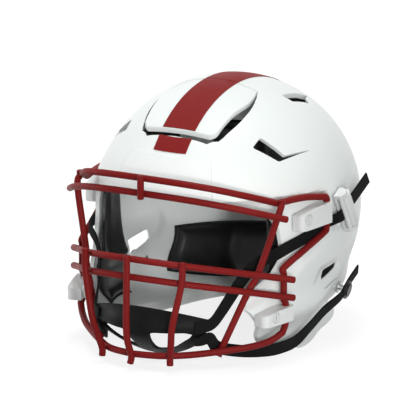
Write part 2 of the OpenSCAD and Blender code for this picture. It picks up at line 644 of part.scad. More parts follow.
// Window through the cup on each side, from an outline of places on its surface
window_outline = [[0.2, 0.45], [0.3, 0.43], [0.72, 0.46], [0.82, 0.54], [0.78, 0.64], [0.57, 0.79], [0.44, 0.84],
    [0.14, 0.84]];
module cup_window() {
    outline = [for (w = window_outline) cup_at(w[0], w[1])];
    for (side = [-1, 1]) scale([side, 1, 1])
        translate([0, -mask_reach / 2, 0]) rotate([90, 0, 0]) linear_extrude(mask_reach)
            polygon([for (w = outline) [w[0], w[2]]]);
}
module chin_cup() {
    color(black) place() difference() {
        cup_slab(1, 0, 1, function (s, t) 0, function (s, t) cup_wall);
        cup_window();
    }
}
cup_pad_thick = 8;
module chin_cup_pad() {
    near = cup_wall + seat_gap;
    top = 0.03;
    bottom = 0.41;
    crown = function (s, t) near + cup_pad_thick
        * (0.35 + 0.65 * (1 - pow(abs(s) / 0.86, 6)) * (1 - pow(abs(2 * t - top - bottom) / (bottom - top), 4)));
    color(black) place() cup_slab(0.86, top, bottom, function (s, t) near, crown);
}

// Strap routes on the wearer's left, from the cup back to the buckle and the snap
strap_off = strap_thick / 2 + seat_gap;
function over_pocket(y, z, extra) =
    let (n = side_normal(y, z, false)) [on_side(y, z, pocket_depth) + (strap_off + extra) * n, n];
function at_frame(place, lean, n, s) =
    let (f = side_frame(place[0], place[1], lean, false)) [on_side(place[0], place[1], 0) + n * f[0] + s * f[1], f[0]];
buckle_floor = 2.6;
buckle_plate = 2.4;
strap_n = buckle_floor + buckle_plate + strap_off;
cup_tip = cup_at(1, 0.2);
cup_low_tip = cup_at(1, 0.78);
cup_edge_face = [0.9, -0.45, 0];
// The straps' ends lie on the cup's outside
function on_cup(s, t, extra) = [cup_at(s, t) + (strap_off + extra) * cup_normal(s, t), cup_normal(s, t)];
upper_stations = [
    on_cup(0.84, 0.3, 0.4), on_cup(0.93, 0.28, 0.4), [cup_tip + [strap_off + 1.6, 3, 1], cup_edge_face],
    [[68, -127, 54], [0.85, -0.5, 0]], [[77, -107, 79], [0.8, -0.6, 0.1]],
    [[87, -96, 94], [0.85, -0.5, 0.1]], over_pocket(-82, 103, 2), over_pocket(-66, 107, 0.6),
    over_pocket(-50, 110.5, 0.2), over_pocket(-35, 114, 0.2), over_pocket(-22, 117.6, 0.1), over_pocket(-15, 119.8, 0.5),
    at_frame(buckle_at, buckle_lean, strap_n, -10), at_frame(buckle_at, buckle_lean, strap_n, 0),
    at_frame(buckle_at, buckle_lean, strap_n, 12), at_frame(buckle_at, buckle_lean, strap_n + 1, 50)
];
snap_n = snap_standoff + strap_off;
lower_stations = [
    on_cup(0.84, 0.73, 2), on_cup(0.93, 0.78, 2.2), [cup_low_tip + [strap_off + 2.6, 3, -1.5], cup_edge_face],
    [[60.5, -122.5, 16], [0.9, -0.45, 0]], [[75, -102, 9.5], [0.8, -0.6, 0]],
    [[91, -84, 8], [0.8, -0.6, 0]], [[97.5, -66, 7.8], [1, -0.2, 0]], [[100.5, -44, 9.5], [1, -0.1, 0]],
    [[104.2, -24, 19], [1, 0, -0.15]], [[108.3, -4, 30.5], [1, 0, -0.2]],
    at_frame(snap_at, snap_lean, snap_n, -12), at_frame(snap_at, snap_lean, snap_n, 0),
    at_frame(snap_at, snap_lean, snap_n, 12), at_frame(snap_at, snap_lean, snap_n + 1, 30)
];
module upper_strap(right) { color(black) place() flip(right) strap(upper_stations, 2); }
module lower_strap(right) { color(black) place() flip(right) strap(lower_stations, 2); }

// Cam buckle: plate, two posts, a pin and the lever that clamps the strap
post_width = 3.5;
pin_n = buckle_floor + buckle_plate + strap_thick + 2 * seat_gap + 3;
cam_r = 2.9;
lever_thick = 3;
lever_reach = 10;
buckle_span = lever_length + 2 * seat_gap + 2 * post_width;
module in_buckle_frame(right) {
    place() flip(right) on_shell(buckle_at[0], buckle_at[1], buckle_lean) children();
}
module along_z(length, r) { translate([0, 0, -length / 2]) cylinder(h = length, r = r, $fn = 40); }
module buckle_base(right) {
    color(white) in_buckle_frame(right) difference() {
        union() {
            translate([buckle_floor, -7, -buckle_span / 2]) cube([buckle_plate, 15, buckle_span]);
            for (side = [-1, 1]) translate([0, 0, side * (buckle_span - post_width) / 2]) {
                translate([pin_n, 0, 0]) along_z(post_width, 4);
                translate([buckle_floor, -4, -post_width / 2]) cube([pin_n - buckle_floor, 8, post_width]);
            }
        }
        translate([pin_n, 0, 0]) along_z(buckle_span + 2, buckle_pin_r + 0.02);
        translate([0, 0, 0]) along_x(buckle_floor + buckle_plate + 0.01, stud_post_r + 0.2);
    }
}
module buckle_lever(right) {
    color(white) in_buckle_frame(right) translate([pin_n, 0, 0]) difference() {
        union() {
            along_z(lever_length, cam_r);
            translate([cam_r - lever_thick, 0, -lever_length / 2]) cube([lever_thick, lever_reach, lever_length]);
            translate([cam_r - lever_thick / 2, lever_reach, 0]) along_z(lever_length, lever_thick / 2);
        }
        along_z(lever_length + 2, buckle_pin_r + 0.05);
    }
}
module buckle_pin(right) {
    color("silver") in_buckle_frame(right) translate([pin_n, 0, 0]) along_z(buckle_span - 0.4, buckle_pin_r);
}

// Snap cap over the end of the lower strap
snap_cap_r = 9;
module lower_snap(right) {
    color(black) place() flip(right) on_shell(snap_at[0], snap_at[1], snap_lean) {
        translate([snap_standoff + strap_thick + 3 * seat_gap, 0, 0]) {
            along_x(2, snap_cap_r);
            along_x(3.4, snap_cap_r - 2.5);
        }
    }
}
module strap_studs() {
    color("silver") place() for (right = [false, true]) flip(right) {
        on_shell(buckle_at[0], buckle_at[1], buckle_lean) strap_stud(buckle_floor + buckle_plate - 0.3);
        on_shell(snap_at[0], snap_at[1], snap_lean) strap_stud(snap_standoff);
    }
}

// Pads: crowned cushions on the inner face, thinner towards their edges
pad_edge = 0.45;
function puff(u, v) = pad_edge + (1 - pad_edge) * (1 - pow(abs(2 * u - 1), 4)) * (1 - pow(abs(2 * v - 1), 4));
function channel(w, count) = 1 - 0.3 * pow(abs(cos(180 * w * count)), 10);
liner_seat = wall + facet_sag;
pad_cols = 12;
pad_rows = 8;
module pad(cols, rows, at, seat, thick) {
    grid = function (deep) [for (r = [0 : rows]) [for (c = [0 : cols])
        let (u = c / cols, v = r / rows) at(u, v, seat(u, v) + deep * thick(u, v))]];
    slab(grid(0), grid(1));
}
module front_pad() {
    color(black) place() pad(pad_cols, pad_rows,
        function (u, v, inset) on_ring(mix(-124, -56, u), mix(167, 195, v), inset),
        function (u, v) liner_seat,
        function (u, v) liner_thick * puff(u, v) * channel(u, 3));
}
module panel_pad() {
    color(black) place() pad(pad_cols, pad_rows,
        function (u, v, inset) on_panel(mix(-31, 31, u), mix(-82, -18, v), inset),
        function (u, v) wall + seat_gap,
        function (u, v) 0.7 * liner_thick * puff(u, v));
}
module crown_pad() {
    color(black) place() pad(pad_cols, pad_rows,
        function (u, v, inset) on_crown(mix(-50, 50, u), mix(2, 84, v), inset),
        function (u, v) liner_seat,
        function (u, v) liner_thick * puff(u, v) * channel(u, 2));
}
module back_pad() {
    color(black) place() pad(14, pad_rows,
        function (u, v, inset) on_ring(mix(48, 132, u), mix(92, 172, v), inset),
        function (u, v) liner_seat,
        function (u, v) liner_thick * puff(u, v) * channel(u, 3));
}
module side_pad(right) {
    color(black) place() flip(right) pad(pad_cols, pad_rows,
        function (u, v, inset) on_side(mix(-14, 62, u), mix(129, 174, v), inset),
        function (u, v) liner_seat + pocket_depth * (1 - ease((mix(-14, 62, u) - 14) / 14)),
        function (u, v) liner_thick * puff(u, v));
}
module rear_pad() {
    color(black) place() pad(20, 6,
        function (u, v, inset) on_ring(90 + (u - 0.5) * mix(143, 122, v),
            mix(mix(18, 34, pow(abs(2 * u - 1), 3)), 72, v), inset),
        function (u, v) liner_seat + 0.7,
        function (u, v) rear_pad_thick * puff(u, v) * channel(u, 4));
}
jaw_pad_front = [[0, -70], [0.3, -80], [1, -77]];
module jaw_pad(right) {
    lift = pocket_depth + nut_flange + 2.6;
    color(black) place() flip(right) pad(8, 10,
        function (u, v, inset) on_side(mix(row_at(jaw_pad_front, 1, v), -25, u), 27 + v * mix(117, 103, u), inset),
        function (u, v) liner_seat + 0.9 * (1 - ease(2.5 * v)) + lift * ease((27 + v * 110 - 60) / 14),
        function (u, v) jaw_pad_thick * puff(u, v) * mix(1, 0.6, ease((v - 0.3) / 0.2)));
}

shell();
flex_panel();
brow_bumper();
stripe_front();
stripe_panel();
stripe_rear();
brow_wire_upper();
brow_wire_lower();
brow_link();
cheek_wire_upper();
cheek_wire_lower();
jaw_wire();
centre_wire();
front_wire(false);  // front_wire_left
front_wire(true);  // front_wire_right
side_wire(false);  // side_wire_left
side_wire(true);  // side_wire_right
outer_wire(false);  // outer_wire_left
outer_wire(true);  // outer_wire_right
mask_clip_upper(false);  // mask_clip_upper_left
mask_clip_upper(true);  // mask_clip_upper_right
mask_clip_lower(false);  // mask_clip_lower_left
mask_clip_lower(true);  // mask_clip_lower_right
mask_clip_screws();
mask_clip_nuts();
chin_cup();
chin_cup_pad();
upper_strap(false);  // upper_strap_left
upper_strap(true);  // upper_strap_right
lower_strap(false);  // lower_strap_left
lower_strap(true);  // lower_strap_right
buckle_base(false);  // buckle_base_left
buckle_base(true);  // buckle_base_right
buckle_lever(false);  // buckle_lever_left
buckle_lever(true);  // buckle_lever_right
buckle_pin(false);  // buckle_pin_left
buckle_pin(true);  // buckle_pin_right
lower_snap(false);  // lower_snap_left
lower_snap(true);  // lower_snap_right
strap_studs();
front_pad();
panel_pad();
crown_pad();
back_pad();
side_pad(false);  // side_pad_left
side_pad(true);  // side_pad_right
rear_pad();
jaw_pad(false);  // jaw_pad_left
jaw_pad(true);  // jaw_pad_right
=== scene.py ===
# Football helmet with a wire face mask, chin cup, straps and liner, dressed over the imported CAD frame.
import json
import math

import bpy
import numpy as np
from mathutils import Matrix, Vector


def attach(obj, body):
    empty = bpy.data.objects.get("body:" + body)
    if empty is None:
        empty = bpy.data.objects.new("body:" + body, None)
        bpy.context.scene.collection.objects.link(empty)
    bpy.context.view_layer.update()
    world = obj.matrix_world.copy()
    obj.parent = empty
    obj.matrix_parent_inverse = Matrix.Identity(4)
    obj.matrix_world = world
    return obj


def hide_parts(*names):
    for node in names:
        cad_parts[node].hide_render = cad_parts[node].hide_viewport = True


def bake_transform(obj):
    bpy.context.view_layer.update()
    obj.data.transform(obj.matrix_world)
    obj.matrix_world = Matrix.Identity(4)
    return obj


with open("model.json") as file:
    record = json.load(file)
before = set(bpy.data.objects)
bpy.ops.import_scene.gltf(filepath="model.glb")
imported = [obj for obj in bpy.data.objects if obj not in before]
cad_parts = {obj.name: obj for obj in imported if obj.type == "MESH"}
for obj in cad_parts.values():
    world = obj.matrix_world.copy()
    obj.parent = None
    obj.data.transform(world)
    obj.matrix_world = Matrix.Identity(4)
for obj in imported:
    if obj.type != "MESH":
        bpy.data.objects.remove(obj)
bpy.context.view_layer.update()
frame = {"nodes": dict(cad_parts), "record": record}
NODES = frame["nodes"]

# ---------------------------------------------------------------- sizes, in mm, as in the part's source
ORIGIN_Y = -24.45
SHELL_HEIGHT, SHELL_WIDTH, SHELL_BACK, SHELL_FRONT = 244, 242, 144, 138
DOME, WALL, BROW_FLARE, BROW_Z, RIM_WIDTH = 124, 4, 22, 163, 192
POCKET, GAP = 6, 0.3
PANEL_WIDTH, PANEL_FRONT, PANEL_ROOT, PANEL_RAISE = 79, 91, 11, 5
STRIPE_WIDTH, STRIPE_FILM = 35, 0.4
WIRE_D, MASK_REACH, MASK_HALF = 6.5, 183, 120.5
CHEEK_Z, CHEEK_PITCH, BROW_WIRE_Z, BROW_PITCH = 108, 17.5, 180, 15
STRAP_WIDTH, STRAP_THICK = 12, 1.8
CUP_HALF, CUP_WALL, CUP_PAD = 61, 3, 8
EQUATOR, HALF = SHELL_HEIGHT - DOME, SHELL_WIDTH / 2
PANEL_EDGE = EQUATOR + DOME * math.sqrt(1 - (PANEL_FRONT / SHELL_FRONT) ** 2)
LAP = WIRE_D + 0.15
# Height where the brow's flare begins, and the rim's narrowing to the rear with the height where it ends
FLARE_TOP, TAPER, TAPER_TOP = PANEL_EDGE - 13, 0.09, 60
LEVELS = np.array([
    [-12, RIM_WIDTH / 2 + 3, 152, 190], [0, RIM_WIDTH / 2 - 4, 143, 196], [5, RIM_WIDTH / 2 - 9.5, 136, 200],
    [13, RIM_WIDTH / 2 - 12, 128, 206], [24, HALF - 31, 126, 210], [40, HALF - 14, 127, 212],
    [62, HALF - 11, 132, 208], [90, HALF - 3, SHELL_BACK - 3, 185],
    [EQUATOR, HALF, SHELL_BACK, SHELL_FRONT + BROW_FLARE]], float)


# ---------------------------------------------------------------- the shell's curves
def ease(t):
    u = np.clip(t, 0, 1)
    return u * u * (3 - 2 * u)


def mix(a, b, t):
    return a + (b - a) * t


def unit(v):
    v = np.asarray(v, float)
    return v / np.linalg.norm(v, axis=-1, keepdims=True)


def row_at(table, column, place):
    """Smooth curve through the rows of a table whose first column is the position."""
    t, p = np.asarray(table, float), np.asarray(place, float)
    x, y = t[:, 0], t[:, column]
    slope = np.zeros(len(x))
    slope[1:-1] = (y[2:] - y[:-2]) / (x[2:] - x[:-2])
    i = np.clip(np.searchsorted(x, p, side="left") - 1, 0, len(x) - 2)
    h = x[i + 1] - x[i]
    s = (p - x[i]) / h
    return (y[i] * (1 + 2 * s) * (1 - s) ** 2 + y[i + 1] * s * s * (3 - 2 * s)
            + h * slope[i] * s * (1 - s) ** 2 - h * slope[i + 1] * s * s * (1 - s))


def taper(y, z):
    turn = np.radians(np.clip(2.2 * (y - 5), -90, 90))
    return 1 - TAPER * (1 - ease(z / TAPER_TOP)) * np.sin(turn)


def section(z, inset=0.0):
    z = np.asarray(z, float)
    low = np.minimum(z, EQUATOR)
    c = np.sqrt(np.maximum(0, 1 - (np.maximum(z - EQUATOR, 0) / (DOME - inset)) ** 2))
    front = SHELL_FRONT + BROW_FLARE * ease((FLARE_TOP - z) / (FLARE_TOP - EQUATOR))
    below = z <= EQUATOR
    return [np.where(below, row_at(LEVELS, k, low) - inset, (top - inset) * c)
            for k, top in ((1, HALF), (2, SHELL_BACK), (3, front))]


def points(x, y, z):
    return np.stack(np.broadcast_arrays(*(np.asarray(v, float) for v in (x, y, z))), axis=-1)


def on_side(y, z, inset=0.0):
    s = section(z, inset)
    reach = np.where(np.asarray(y) > 0, s[1], s[2])
    return points(taper(y, z) * s[0] * np.sqrt(np.maximum(0, 1 - (y / reach) ** 2)), y, z)


def on_front(x, z, inset=0.0):
    s = section(z, inset)
    return points(x, -s[2] * np.sqrt(np.maximum(0, 1 - (x / s[0]) ** 2)), z)


def on_ring(turn, z, inset=0.0):
    s = section(z, inset)
    a = np.radians(turn)
    y = np.where(np.sin(a) > 0, s[1], s[2]) * np.sin(a)
    return points(taper(y, z) * s[0] * np.cos(a), y, z)


def on_crown(x, y, inset=0.0):
    reach = np.where(np.asarray(y) > 0, SHELL_BACK, SHELL_FRONT) - inset
    rest = 1 - (x / (HALF - inset)) ** 2 - (y / reach) ** 2
    return points(x, y, EQUATOR + (DOME - inset) * np.sqrt(np.maximum(0, rest)))


def on_back(x, z, inset=0.0):
    s = section(z, inset)
    return points(x, s[1] * np.sqrt(np.maximum(0, 1 - (x / taper(s[1], z) / s[0]) ** 2)), z)


def on_arch(x, rise, inset=0.0):
    k = np.sqrt(1 - (x / (HALF - inset)) ** 2)
    a = np.radians(rise)
    reach = np.where(np.asarray(rise) > 90, SHELL_FRONT, SHELL_BACK)
    return points(x, k * (reach - inset) * np.cos(a), EQUATOR + k * (DOME - inset) * np.sin(a))


# From the panel's root to its front edge: the place, what its half width gains there, and the slot's width beside it
PANEL_ROWS = [[0, 0, 0.5], [0.12, 2.5, 2.2], [0.36, 5.5, 4.2], [0.64, 3, 6.4], [0.84, 1, 4.5], [0.96, -1, 3],
              [1, -6, 3]]


def panel_half(t):
    return PANEL_WIDTH / 2 + row_at(PANEL_ROWS, 1, t)


def panel_y(t):
    return mix(-PANEL_ROOT, -PANEL_FRONT, np.asarray(t, float))


def on_panel(x, y, inset=0.0):
    lift = PANEL_RAISE * ease(-(y + PANEL_ROOT) / (PANEL_FRONT - PANEL_ROOT) / 0.9) * (2 * x / PANEL_WIDTH) ** 2
    return on_crown(x, y, inset - lift)


def side_frame(y, z, lean=0.0, level=False):
    """Frame on the shell's side: X out of the surface, Y to the rear, Z up, turned by a lean."""
    d = 0.5
    dy = on_side(y + d, z)[0] - on_side(y - d, z)[0]
    dz = on_side(y, z + d)[0] - on_side(y, z - d)[0]
    n = unit([2 * d, -dy, 0 if level else -dz])
    b = unit(np.array([0, 0, 1.0]) - n[2] * n)
    s = np.cross(b, n)
    c, k = math.cos(math.radians(lean)), math.sin(math.radians(lean))
    return np.array([n, c * s + k * b, c * b - k * s])


# ---------------------------------------------------------------- meshes
def new_object(name, verts, faces, sharp=None):
    """Smooth mesh object from points in mm in the source's frame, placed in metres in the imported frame."""
    v = (np.asarray(verts, float).reshape(-1, 3) - [0, ORIGIN_Y, 0]) / 1000
    me = bpy.data.meshes.new(name)
    me.from_pydata(v.tolist(), [], [list(f) for f in faces])
    me.validate()
    me.shade_smooth()
    if sharp:
        me.set_sharp_from_angle(angle=math.radians(sharp))
    o = bpy.data.objects.new(name, me)
    bpy.context.scene.collection.objects.link(o)
    return o


def loft_faces(rows, n, closed_ends=True):
    i = np.arange(n)
    r = np.arange(rows - 1)[:, None] * n
    a, b = r + i, r + (i + 1) % n
    faces = np.stack([a, a + n, b + n, b], axis=-1).reshape(-1, 4).tolist()
    if closed_ends:
        top = (rows - 1) * n
        faces += [list(range(n)), [top + k for k in reversed(range(n))]]
    return faces


def slab_data(outer, inner):
    """Points and faces of the closed solid between two grids, rows upwards and columns to the right from outside."""
    rows, cols = outer.shape[:2]
    v = np.concatenate([outer.reshape(-1, 3), inner.reshape(-1, 3)])
    g = np.arange(rows * cols).reshape(rows, cols)
    h = g + rows * cols
    quads = [np.stack([g[:-1, :-1], g[:-1, 1:], g[1:, 1:], g[1:, :-1]], -1).reshape(-1, 4),
             np.stack([h[:-1, :-1], h[1:, :-1], h[1:, 1:], h[:-1, 1:]], -1).reshape(-1, 4)]
    edge = np.concatenate([g[0, :], g[1:, -1], g[-1, -2::-1], g[-2:0:-1, 0]])
    nxt = np.roll(edge, -1)
    k = rows * cols
    quads.append(np.stack([edge, edge + k, nxt + k, nxt], -1))
    return v, np.concatenate(quads).tolist()


def applied(o, kind, **values):
    """The object with a modifier of some kind applied."""
    m = o.modifiers.new(kind.lower(), kind)
    for key, value in values.items():
        setattr(m, key, value)
    deps = bpy.context.evaluated_depsgraph_get()
    me = bpy.data.meshes.new_from_object(o.evaluated_get(deps), depsgraph=deps)
    old = o.data
    o.modifiers.clear()
    o.data = me
    bpy.data.meshes.remove(old)
    return o


def shaded(o, angle):
    o.data.shade_smooth()
    o.data.set_sharp_from_angle(angle=math.radians(angle))
    return o


def rounded(o, width, angle=35):
    """Rounds the sharp edges of a solid, with the width in mm."""
    applied(o, "BEVEL", width=width / 1000, segments=3, limit_method="ANGLE", angle_limit=math.radians(angle),
            harden_normals=False)
    return shaded(o, 40)


def combined(o, operation, *others):
    """The solid after a boolean operation with each of some others, which are used up."""
    for other in others:
        applied(o, "BOOLEAN", operation=operation, solver="MANIFOLD", object=other)
        bpy.data.objects.remove(other)
    return o


def outward(v, faces):
    """The faces of a closed solid, turned so that they all look outwards."""
    volume = sum(np.dot(v[f[0]], np.cross(v[f[i]], v[f[i + 1]])) for f in faces for i in range(1, len(f) - 1))
    return faces if volume > 0 else [list(reversed(f)) for f in faces]


def joined(name, parts):
    """One object from several (points, faces) solids."""
    verts, faces, n = [], [], 0
    for v, f in parts:
        v = np.asarray(v, float).reshape(-1, 3)
        f = outward(v, f)
        verts.append(v)
        faces += [[i + n for i in face] for face in f]
        n += len(v)
    return new_object(name, np.concatenate(verts), faces)


def mirrored_part(part):
    v, f = part
    return np.asarray(v) * [-1, 1, 1], [list(reversed(face)) for face in f]


def prism(outline, place, axes, near, far, spread=None):
    """Prism of an outline in a frame's second and third axes, between two depths along its first. A spread outline
    takes its place at the far end."""
    o = np.asarray(outline, float)
    far_o = o if spread is None else np.asarray(spread, float)
    v = [place + near * axes[0] + p[0] * axes[1] + p[1] * axes[2] for p in o]
    v += [place + far * axes[0] + p[0] * axes[1] + p[1] * axes[2] for p in far_o]
    n = len(o)
    faces = [[i, (i + 1) % n, n + (i + 1) % n, n + i] for i in range(n)]
    faces += [list(reversed(range(n))), list(range(n, 2 * n))]
    area = sum(o[i][0] * o[(i + 1) % n][1] - o[(i + 1) % n][0] * o[i][1] for i in range(n))
    if (area > 0) != (far > near):
        faces = [list(reversed(f)) for f in faces]
    return np.array(v), faces


def softened(outline, share=0.22, reach=6.0):
    """An outline with its corners rounded, each over at most a few mm."""
    p = np.asarray(outline, float)
    out = []
    for i in range(len(p)):
        a, b, c = p[i - 1], p[i], p[(i + 1) % len(p)]
        la, lc = np.linalg.norm(a - b), np.linalg.norm(c - b)
        s, e = b + (a - b) * min(share, reach / la), b + (c - b) * min(share, reach / lc)
        out += [s * (1 - t) ** 2 + 2 * b * t * (1 - t) + e * t * t for t in (0, 0.25, 0.5, 0.75, 1)]
    return out


def spline(path, steps):
    """Smooth curve through the points of a path, with some steps from each point to the next."""
    p = np.asarray(path, float)
    q = np.concatenate([[p[0]], p, [p[-1]]])
    out = []
    for i in range(len(p) - 1):
        a, b, c, d = q[i:i + 4]
        for t in np.arange(steps) / steps:
            out.append(0.5 * (2 * b + (c - a) * t + (2 * a - 5 * b + 4 * c - d) * t * t
                              + (3 * b - a - 3 * c + d) * t ** 3))
    return np.array(out + [p[-1]])


def tangents(path):
    p = np.asarray(path)
    return unit(np.concatenate([[p[1] - p[0]], p[2:] - p[:-2], [p[-1] - p[-2]]]))


SIDES, CAP = 20, 0.9


def tube(path, radius):
    """Round wire along a path, with ends that are rounded over the cap's length."""
    path = np.asarray(path, float)
    t = tangents(path)
    ends = [(1 - math.cos(a), math.sin(a)) for a in np.radians([20, 45, 68])]
    rings = [(path[0] + t[0] * CAP * e, radius - CAP * (1 - s)) for e, s in ends]
    rings += [(p, radius) for p in path[1:-1]]
    rings += [(path[-1] - t[-1] * CAP * e, radius - CAP * (1 - s)) for e, s in reversed(ends)]
    dirs = np.concatenate([[t[0]] * 3, t[1:-1], [t[-1]] * 3])
    n = np.cross(dirs[0], [0.31, 0.85, 0.42])
    a = 2 * math.pi * np.arange(SIDES) / SIDES
    out = []
    for (centre, r), d in zip(rings, dirs):
        n = unit(n - np.dot(n, d) * d)
        b = np.cross(d, n)
        out.append(centre + r * (np.outer(np.cos(a), n) + np.outer(np.sin(a), b)))
    return np.concatenate(out), loft_faces(len(out), SIDES)


def ribbon(stations, steps, width, thick):
    """Webbing through stations of a point and the way that its face looks, with rounded edges. Also gives its UVs."""
    path = spline([s[0] for s in stations], steps)
    face = spline([s[1] for s in stations], steps)
    t = tangents(path)
    b = unit(face - np.sum(face * t, axis=1, keepdims=True) * t)
    a = np.cross(b, t)
    flat = np.linspace(-1, 1, 7)
    bends = np.radians([36, 72, 108, 144])
    w, h = width / 2 - thick / 2, thick / 2
    outline = [(x * w, h) for x in flat[::-1]]
    outline += [(-w - h * math.sin(k), h * math.cos(k)) for k in bends]
    outline += [(x * w, -h) for x in flat]
    outline += [(w + h * math.sin(k), -h * math.cos(k)) for k in bends]
    rings = [path[i] + np.array([x * a[i] + y * b[i] for x, y in outline]) for i in range(len(path))]
    along = np.concatenate([[0], np.cumsum(np.linalg.norm(np.diff(path, axis=0), axis=1))])
    return np.concatenate(rings), loft_faces(len(rings), len(outline)), along, np.array(outline)[:, 0]


# ---------------------------------------------------------------- materials
def maths(nodes, link, operation, *values):
    """Output of a math node on values that are numbers or other nodes' outputs."""
    n = nodes.new("ShaderNodeMath")
    n.operation = operation
    for socket, value in zip(n.inputs, values):
        if isinstance(value, bpy.types.NodeSocket):
            link(value, socket)
        else:
            socket.default_value = value
    return n.outputs[0]


def remap(nodes, link, source, *limits):
    """Output of a node that maps one range onto another; the limits are from low, from high, to low, to high."""
    n = nodes.new("ShaderNodeMapRange")
    link(source, n.inputs["Value"])
    for key, value in zip(("From Min", "From Max", "To Min", "To Max"), limits):
        n.inputs[key].default_value = value
    return n.outputs["Result"]


def either(nodes, link, found, *others):
    """The greatest of some outputs that are 0 or 1."""
    for other in others:
        found = maths(nodes, link, "MAXIMUM", found, other)
    return found


def material(name, colour, rough=0.4, metal=0.0, bevel=0.0, mottle=0.0, grain=0.0, grain_size=1.0, scuff=0.0,
             coat=0.0, sheen=0.0, cells=0.0, cell_size=2.0, brushed=False, weave=None, spec=0.5):
    """Principled material with colour variation, uneven gloss, fine relief and rounded edges, all from nodes.
    bevel, grain_size and cell_size are in mm, and so are the two threads' widths of a weave."""
    m = bpy.data.materials.new(name)
    m.use_nodes = True
    nt = m.node_tree
    nodes, link = nt.nodes, nt.links.new
    p = nodes["Principled BSDF"]
    p.inputs["Metallic"].default_value = metal
    p.inputs["Coat Weight"].default_value = coat
    p.inputs["Coat Roughness"].default_value = 0.08
    p.inputs["Sheen Weight"].default_value = sheen
    p.inputs["Specular IOR Level"].default_value = spec
    where = nodes.new("ShaderNodeTexCoord").outputs["Object"]

    def texture(kind, scale, **values):
        n = nodes.new(kind)
        link(where, n.inputs["Vector"])
        n.inputs["Scale"].default_value = scale
        for key, value in values.items():
            n.inputs[key].default_value = value
        return n

    big = texture("ShaderNodeTexNoise", 14.0, Detail=3.0)
    tone = nodes.new("ShaderNodeMix")
    tone.data_type = "RGBA"
    dark = [c * (1 - mottle) for c in colour]
    light = [min(1.0, c * (1 + 0.5 * mottle) + 0.004) for c in colour]
    tone.inputs["A"].default_value = (*dark, 1)
    tone.inputs["B"].default_value = (*light, 1)
    link(remap(nodes, link, big.outputs["Fac"], 0.3, 0.7, 0, 1), tone.inputs["Factor"])
    base = tone.outputs["Result"]
    marks = texture("ShaderNodeTexNoise", 60.0, Detail=6.0, Roughness=0.7)
    gloss = max(0.03, rough - 0.5 * scuff), min(1.0, rough + scuff)
    link(remap(nodes, link, marks.outputs["Fac"], 0.45, 0.75, *gloss), p.inputs["Roughness"])
    normal = None
    if bevel:
        n = nodes.new("ShaderNodeBevel")
        n.samples = 4
        n.inputs["Radius"].default_value = bevel / 1000
        normal = n.outputs["Normal"]

    def bump(height, strength, distance):
        nonlocal normal
        n = nodes.new("ShaderNodeBump")
        n.inputs["Strength"].default_value = strength
        n.inputs["Distance"].default_value = distance / 1000
        link(height, n.inputs["Height"])
        if normal:
            link(normal, n.inputs["Normal"])
        normal = n.outputs["Normal"]

    if grain:
        bump(texture("ShaderNodeTexNoise", 1000 / grain_size, Detail=2.0).outputs["Fac"], grain, 0.2)
    if cells:
        v = texture("ShaderNodeTexVoronoi", 1000 / cell_size)
        v.feature = "SMOOTH_F1"
        bump(v.outputs["Distance"], cells, 0.35)
    if brushed:
        stretch = nodes.new("ShaderNodeMapping")
        stretch.inputs["Scale"].default_value = (1, 1, 30)
        link(where, stretch.inputs["Vector"])
        n = nodes.new("ShaderNodeTexNoise")
        n.inputs["Scale"].default_value = 120
        link(stretch.outputs["Vector"], n.inputs["Vector"])
        bump(n.outputs["Fac"], 0.25, 0.1)
    if weave:
        # threads in mm along and across, read from the strap's own UVs, which are in mm
        uv = nodes.new("ShaderNodeUVMap")
        uv.uv_map = "length"
        split = nodes.new("ShaderNodeSeparateXYZ")
        link(uv.outputs["UV"], split.inputs["Vector"])

        def wave(source, pitch, shift):
            return maths(nodes, link, "SINE", maths(nodes, link, "MULTIPLY_ADD", source, 2 * math.pi / pitch, shift))

        slant = maths(nodes, link, "MULTIPLY", split.outputs["Y"], math.pi / weave[1])
        both = maths(nodes, link, "MULTIPLY", wave(split.outputs["X"], weave[0], slant),
                     wave(split.outputs["Y"], weave[1], 0))
        bump(both, 0.6, 0.3)
        # painted shade: the colour is darkened where the weave is low, in the hollows between the threads
        painted_weave_shade = nodes.new("ShaderNodeMix")
        painted_weave_shade.data_type = "RGBA"
        painted_weave_shade.blend_type = "MULTIPLY"
        link(remap(nodes, link, both, -1, 1, 0.7, 0), painted_weave_shade.inputs["Factor"])
        link(base, painted_weave_shade.inputs["A"])
        painted_weave_shade.inputs["B"].default_value = (0.45, 0.45, 0.45, 1)
        base = painted_weave_shade.outputs["Result"]
    link(base, p.inputs["Base Color"])
    if normal:
        link(normal, p.inputs["Normal"])
    return m


